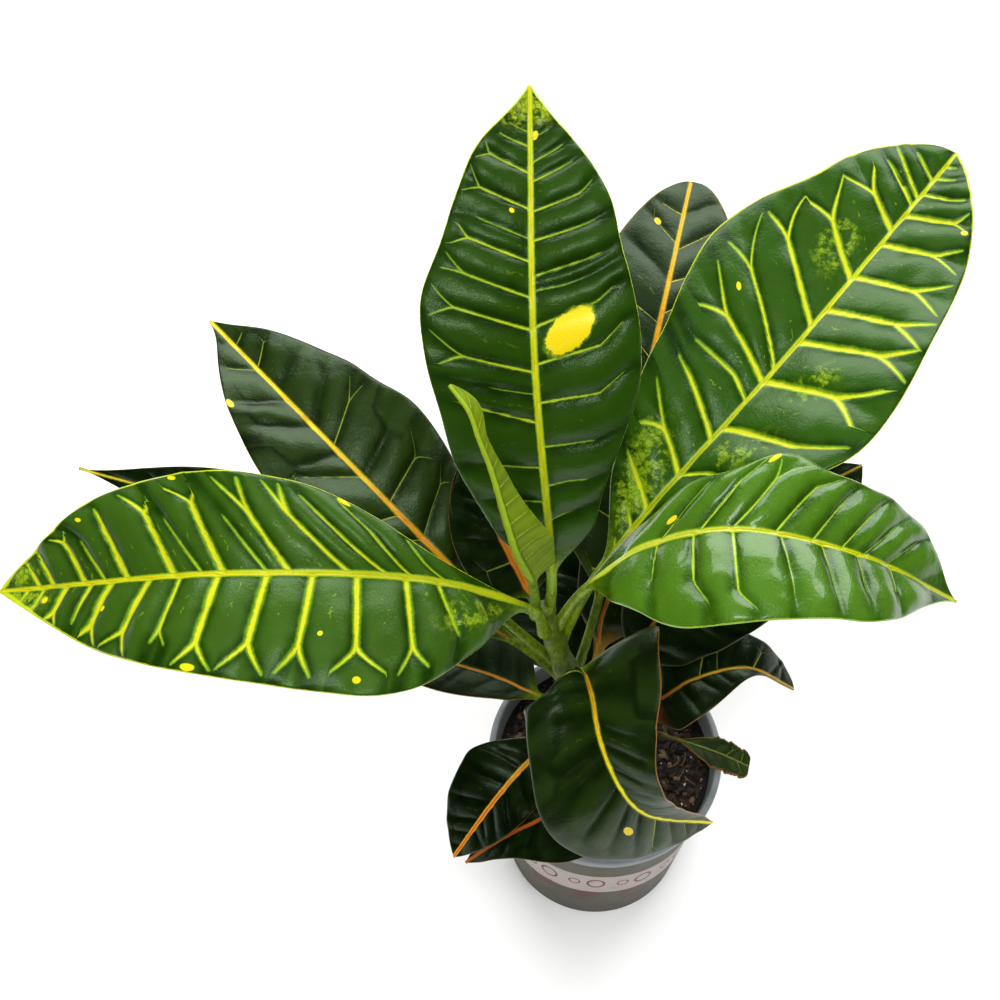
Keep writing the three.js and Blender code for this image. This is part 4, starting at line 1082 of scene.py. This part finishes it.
def inner_radius(height):
    share = height / (POT_HEIGHT - COLLAR_HEIGHT)
    return POT_FOOT_RADIUS + (POT_NECK_RADIUS - POT_FOOT_RADIUS) * share - POT_WALL


def circle(radius, z, sides):
    """Points of a level ring around Z."""
    turns = [FULL_TURN * k / sides for k in range(sides)]
    return [(radius * math.cos(turn), radius * math.sin(turn), z) for turn in turns]


def pot_paint():
    """Olive taupe plastic with a pale rim and a generic print: a band with rings, and ovals below it."""
    p = Paint("paint_pot")
    x, y, z = (p.axis(letter) for letter in "XYZ")
    radius = calc("SQRT", x * x + y * y)
    turn = calc("ARCTAN2", y, x) * (1 / FULL_TURN)
    rough, fine, broad = p.noise(8, 4.0) - 0.5, p.noise(0.9, 3.0) - 0.5, p.noise(40, 2.0) - 0.5
    wall = p.mix(fade(broad + rough * 0.3, -0.25, 0.25), "#3c382b", "#4a4537")
    rim = p.mix(fade(broad + rough * 0.5, -0.25, 0.25), "#7c8183", "#93989b")
    collar = POT_HEIGHT - COLLAR_HEIGHT
    wall_radius = z * ((POT_NECK_RADIUS - POT_FOOT_RADIUS) / collar) + POT_FOOT_RADIUS
    inside = fade(radius - wall_radius, -0.6, -1.1)

    # Print
    level = z - calc("SINE", turn * (FULL_TURN * 3)) * BAND_WAVE
    band = fade(level, BAND_BOTTOM, BAND_BOTTOM + 0.6) * fade(level, BAND_TOP, BAND_TOP - 0.6)
    cell = turn * PRINT_MOTIFS
    across = (calc("FRACT", cell) - 0.5) * (FULL_TURN * PRINT_RADIUS / PRINT_MOTIFS)
    height = level - OVAL_LEVEL - (chance(calc("FLOOR", cell), 2) - 0.5) * 5.0
    lean, stand = across * 0.8 + height * 0.6, height * 0.8 - across * 0.6
    oval = calc("SQRT", lean * lean / 64.0 + stand * stand / 12.0)
    rise = level - RING_LEVEL
    large = calc("SQRT", (across - 4.5) * (across - 4.5) / 16.0 + rise * rise / 40.0)
    small = calc("SQRT", (across + 6.0) * (across + 6.0) / 7.0 + rise * rise / 16.0)
    ring = fade(calc("ABSOLUTE", calc("MINIMUM", large, small) - 1.0), 0.2, 0.12)
    ink = calc("MAXIMUM", fade(oval, 1.03, 0.97) * (1.0 - fade(oval, 0.62, 0.58) * 0.45), ring * band)
    worn = fade(fine + rough, 0.34, 0.2)
    tint = p.mix(band * 0.95 * worn, wall, "#a89d98")
    tint = p.mix(ink * 0.95 * worn, tint, "#5e1416")

    # Inside, rim, scuffs and soil marks
    tint = p.mix(inside, tint, "#6c6e70")
    tint = p.mix(fade(z, collar - 0.5, collar + 0.5), tint, rim)
    scuffs = fade(p.noise(3.0, 5.0, 0.7, stretch=(1, 1, 3)), 0.62, 0.7)
    tint = p.mix(scuffs * 0.12, tint, "#9a978f")
    soiled = fade(p.noise(5.0, 4.0, 0.65), 0.55, 0.72) * fade(z, 100.0, 108.0) * inside
    tint = p.mix(soiled * 0.6, tint, "#4a3a2c")
    relief = fine * 0.25 + rough * 0.3 + calc("SINE", z * 4.2) * 0.03 + ink * band * 0.08
    p.shader.inputs["Specular IOR Level"].default_value = 0.1
    return p.finish(tint, 0.44 + rough * 0.2 + scuffs * 0.15, relief, 0.6)


def pot_piece():
    collar = POT_HEIGHT - COLLAR_HEIGHT
    collar_radius = POT_RIM_RADIUS - COLLAR_LIP
    in_top = collar_radius - POT_WALL - COLLAR_LIP / 2
    outline = [
        (0, 0, 0),
        (POT_FOOT_RADIUS - POT_FOOT_EDGE, 0, 0.5),
        (POT_FOOT_RADIUS, POT_FOOT_EDGE, 0.6),
        (POT_NECK_RADIUS, collar, 0.5),
        (collar_radius, collar + COLLAR_LIP, 0.6),
        (collar_radius, POT_HEIGHT - LIP_HEIGHT, 0.4),
        (POT_RIM_RADIUS, POT_HEIGHT - LIP_HEIGHT + COLLAR_LIP / 2, 0.5),
        (POT_RIM_RADIUS, POT_HEIGHT - COLLAR_LIP, 0.7),
        (POT_RIM_RADIUS - COLLAR_LIP, POT_HEIGHT, 0.7),
        (in_top + COLLAR_LIP / 2, POT_HEIGHT, 0.5),
        (in_top, POT_HEIGHT - COLLAR_LIP, 0.6),
        (inner_radius(collar), collar, 1.0),
        (inner_radius(POT_FLOOR), POT_FLOOR, 1.0),
        (0, POT_FLOOR, 0),
    ]
    rings = [circle(x, y, POT_SIDES) for x, y in rounded(outline)[1:-1]]
    points, faces = capped_rings((0, 0, 0), rings, (0, 0, POT_FLOOR))
    pot = make_piece("pot_shell", points, faces, pot_paint(), "pot")
    drill_points, drill_faces = [], []
    for x, y, _ in circle(DRAIN_CIRCLE, 0, DRAIN_HOLES):
        axis = np.array([(x, y, -DRILL_SPARE[0]), (x, y, POT_FLOOR + DRILL_SPARE[1])])
        add_body(drill_points, drill_faces, *tube(axis, np.full((2, DRAIN_SIDES), DRAIN_RADIUS), DRAIN_SIDES))
    _, drill = make_mesh("drill", drill_points, drill_faces)
    cut = pot.modifiers.new("drain", "BOOLEAN")
    cut.object, cut.operation, cut.solver = drill, "DIFFERENCE", "EXACT"
    bpy.context.view_layer.update()
    done = bpy.data.meshes.new_from_object(pot.evaluated_get(bpy.context.evaluated_depsgraph_get()))
    pot.modifiers.clear()
    pot.data = done
    bpy.data.objects.remove(drill)


pot_piece()


# Potting mix

def ripples(x, y, length):
    across = FULL_TURN * x / length
    deep = FULL_TURN * y / length
    return np.sin(across + np.sin(deep / 2)) * np.cos(deep + np.sin(across / 3))


def soil_height(x, y, rim):
    relief = ripples(x, y, LUMP_LENGTH) + CRUMB_SHARE * ripples(y, x, CRUMB_LENGTH)
    return float(SOIL_LEVEL + (SOIL_CROWN + SOIL_LUMP * relief) * (1 - rim ** CROWN_POWER))


def soil_paint(name, tinted):
    p = Paint(name)
    rough, fine = p.noise(2.2, 5.0, 0.7) - 0.5, p.noise(0.5, 3.0) - 0.5
    if tinted:
        bits = p.attribute("tint")
        dark = p.mix(fade(rough, -0.2, 0.2), "#0b0806", "#211810")
        tint = p.mix(fade(bits + rough * 0.3, 0.2, 0.75), dark, "#3e2c1c")
        tint = p.mix(fade(bits, 0.76, 0.86), tint, "#7d6446")
        tint = p.mix(fade(bits, 0.95, 0.96), tint, "#e0d8c8")
    else:
        tint = p.mix(fade(rough + fine, -0.25, 0.3), "#080604", "#1e150e")
    return p.finish(tint, rough * 0.5 + 0.62, rough * 1.6 + fine * 0.6)


def soil_piece():
    foot = POT_FLOOR + SOIL_GAP
    rings = [circle(inner_radius(foot) - SOIL_GAP, foot, SOIL_SIDES)]
    for row in range(SOIL_ROWS, 0, -1):
        rim = row / SOIL_ROWS
        ring = []
        for x, y, _ in circle((inner_radius(SOIL_LEVEL) - SOIL_GAP) * row / SOIL_ROWS, 0, SOIL_SIDES):
            q = Vector((x, y, 0))
            crumb = noise.noise(q * 0.33) * 0.9 + noise.noise(q * 0.9) * 0.5
            ring.append((x, y, soil_height(x, y, rim) + crumb * (1 - rim ** 12)))
        rings.append(ring)
    points, faces = capped_rings((0, 0, foot), rings, (0, 0, soil_height(0, 0, 0)))
    make_piece("potting_mix", points, faces, soil_paint("paint_soil", False), "soil")


def icosahedron():
    g = (1 + 5 ** 0.5) / 2
    points = [(-1, g, 0), (1, g, 0), (-1, -g, 0), (1, -g, 0), (0, -1, g), (0, 1, g), (0, -1, -g), (0, 1, -g),
              (g, 0, -1), (g, 0, 1), (-g, 0, -1), (-g, 0, 1)]
    faces = [(0, 11, 5), (0, 5, 1), (0, 1, 7), (0, 7, 10), (0, 10, 11), (1, 5, 9), (5, 11, 4), (11, 10, 2),
             (10, 7, 6), (7, 1, 8), (3, 9, 4), (3, 4, 2), (3, 2, 6), (3, 6, 8), (3, 8, 9), (4, 9, 5),
             (2, 4, 11), (6, 2, 10), (8, 6, 7), (9, 8, 1)]
    return unit(np.array(points, float)), faces


class Bits:
    """Seeded bark chips, crumbs, pale grains and fibres lying half sunk in the potting mix."""

    def __init__(self):
        self.draw = random.Random(11)
        self.top = inner_radius(SOIL_LEVEL) - CHIP_EDGE
        self.level_edge = self.top + CHIP_EDGE - SOIL_GAP
        self.stem = spline(STEM_ROUTE, [0.25])[0]
        self.points, self.faces, self.tints = [], [], []

    def add(self, points, faces, tint):
        add_body(self.points, self.faces, points, faces)
        self.tints += [tint] * len(points)

    def near_stem(self, x, y, reach):
        return math.hypot(x - self.stem[0], y - self.stem[1]) < reach

    def add_chip(self, ball, ball_faces):
        draw = self.draw
        size = draw.choice(CHIP_SIZES)
        radius = (self.top - size) * math.sqrt(draw.random())
        angle = draw.uniform(0, FULL_TURN)
        x, y = radius * math.cos(angle), radius * math.sin(angle)
        if self.near_stem(x, y, CHIP_CLEAR + size):
            return
        flat = draw.uniform(0.3, 0.7)
        long = draw.uniform(1.0, 1.9)
        jitter = np.array([[draw.uniform(0.72, 1.25) for _ in range(3)] for _ in ball])
        turn = Matrix.Rotation(draw.uniform(0, NEARLY_FULL_TURN), 3, "Z")
        tilt = Matrix.Rotation(draw.uniform(-0.7, 0.7), 3, "X")
        chip = (ball * jitter * np.array([long, 1.0, flat]) * size) @ np.array(turn @ tilt).T
        z = soil_height(x, y, radius / self.level_edge) + size * flat * draw.uniform(0.0, 0.55)
        self.add(chip + (x, y, z), ball_faces, draw.random() * (0.9 if size > 0.9 else 1.0))

    def add_fibre(self):
        draw = self.draw
        angle, radius = draw.uniform(0, FULL_TURN), (self.top - 5) * math.sqrt(draw.random())
        x, y = radius * math.cos(angle), radius * math.sin(angle)
        if self.near_stem(x, y, FIBRE_CLEAR):
            return
        heading = draw.uniform(0, NEARLY_FULL_TURN)
        bend, length = draw.uniform(-0.5, 0.5), draw.uniform(2, 5)
        axis = []
        for f in np.linspace(-1, 1, FIBRE_STEPS):
            px = x + length * f * math.cos(heading + bend * f)
            py = y + length * f * math.sin(heading + bend * f)
            rim = min(math.hypot(px, py) / self.level_edge, 1)
            axis.append((px, py, soil_height(px, py, rim) + 0.7 + 0.5 * (1 - f * f)))
        radii = np.full((FIBRE_STEPS, FIBRE_SIDES), draw.uniform(0.15, 0.32))
        self.add(*tube(np.array(axis), radii, FIBRE_SIDES), draw.uniform(0.55, 0.93))


def bits_piece():
    bits = Bits()
    ball, ball_faces = icosahedron()
    for _ in range(CHIPS):
        bits.add_chip(ball, ball_faces)
    for _ in range(FIBRES):
        bits.add_fibre()
    make_piece("soil_bits", bits.points, bits.faces, soil_paint("paint_bits", True),
               attributes={"tint": bits.tints}, smooth=False)


soil_piece()
bits_piece()


# Floor, light and camera

def floor_piece():
    size = 2400
    corners = [(-size, -size, 0), (size, -size, 0), (size, size, 0), (-size, size, 0)]
    mesh, floor = make_mesh("floor", corners, [[0, 1, 2, 3]])
    p = Paint("paint_floor")
    broad = p.noise(300, 2.0) - 0.5
    tint = p.mix(fade(broad, -0.3, 0.3), "#f4f4f3", "#fafaf9")
    mesh.materials.append(p.finish(tint, broad * 0.05 + 0.8, broad * 0.1))


def soft_light(name, place, target, size, power, glossy):
    data = bpy.data.lights.new(name, "AREA")
    data.shape, data.size, data.size_y, data.energy = "RECTANGLE", size[0], size[1], power
    light = bpy.data.objects.new(name, data)
    light.location = place
    light.rotation_euler = (Vector(target) - Vector(place)).to_track_quat("-Z", "Y").to_euler()
    light.visible_glossy = glossy
    bpy.context.collection.objects.link(light)


floor_piece()
soft_light("light_back", (0.1, 1.5, 1.25), (-0.05, 0.05, 0.2), (2.6, 1.2), 46, True)
soft_light("light_high", (0.0, -0.5, 1.9), (-0.05, 0.05, 0.25), (0.6, 0.3), 5.5, True)
soft_light("light_top", (-0.2, -0.1, 2.2), (-0.05, 0.1, 0.2), (1.6, 1.6), 30, False)
soft_light("light_front", (-0.5, -1.5, 1.3), (-0.05, 0.05, 0.2), (1.6, 1.2), 14, False)

world = bpy.data.worlds.new("room")
world.use_nodes = True
background = world.node_tree.nodes["Background"]
background.inputs["Color"].default_value = (0.98, 0.99, 1, 1)
background.inputs["Strength"].default_value = 0.3
world.cycles_visibility.glossy = False
bpy.context.scene.world = world
bpy.context.scene.view_settings.view_transform = "Standard"

forward = Vector((0, math.cos(CAMERA_PITCH), -math.sin(CAMERA_PITCH)))
level_right = Vector((1, 0, 0))
level_up = level_right.cross(forward)
right = level_right * math.cos(CAMERA_ROLL) + level_up * math.sin(CAMERA_ROLL)
up = level_up * math.cos(CAMERA_ROLL) - level_right * math.sin(CAMERA_ROLL)
camera_data = bpy.data.cameras.new("camera")
camera_data.lens, camera_data.sensor_width = CAMERA_LENS, SENSOR_WIDTH
camera = bpy.data.objects.new("camera", camera_data)
turned_view = Matrix((right, up, -forward)).transposed().to_4x4()
camera.matrix_world = Matrix.Translation(Vector(CAMERA_PLACE) * MM) @ turned_view
bpy.context.collection.objects.link(camera)
bpy.context.scene.camera = camera
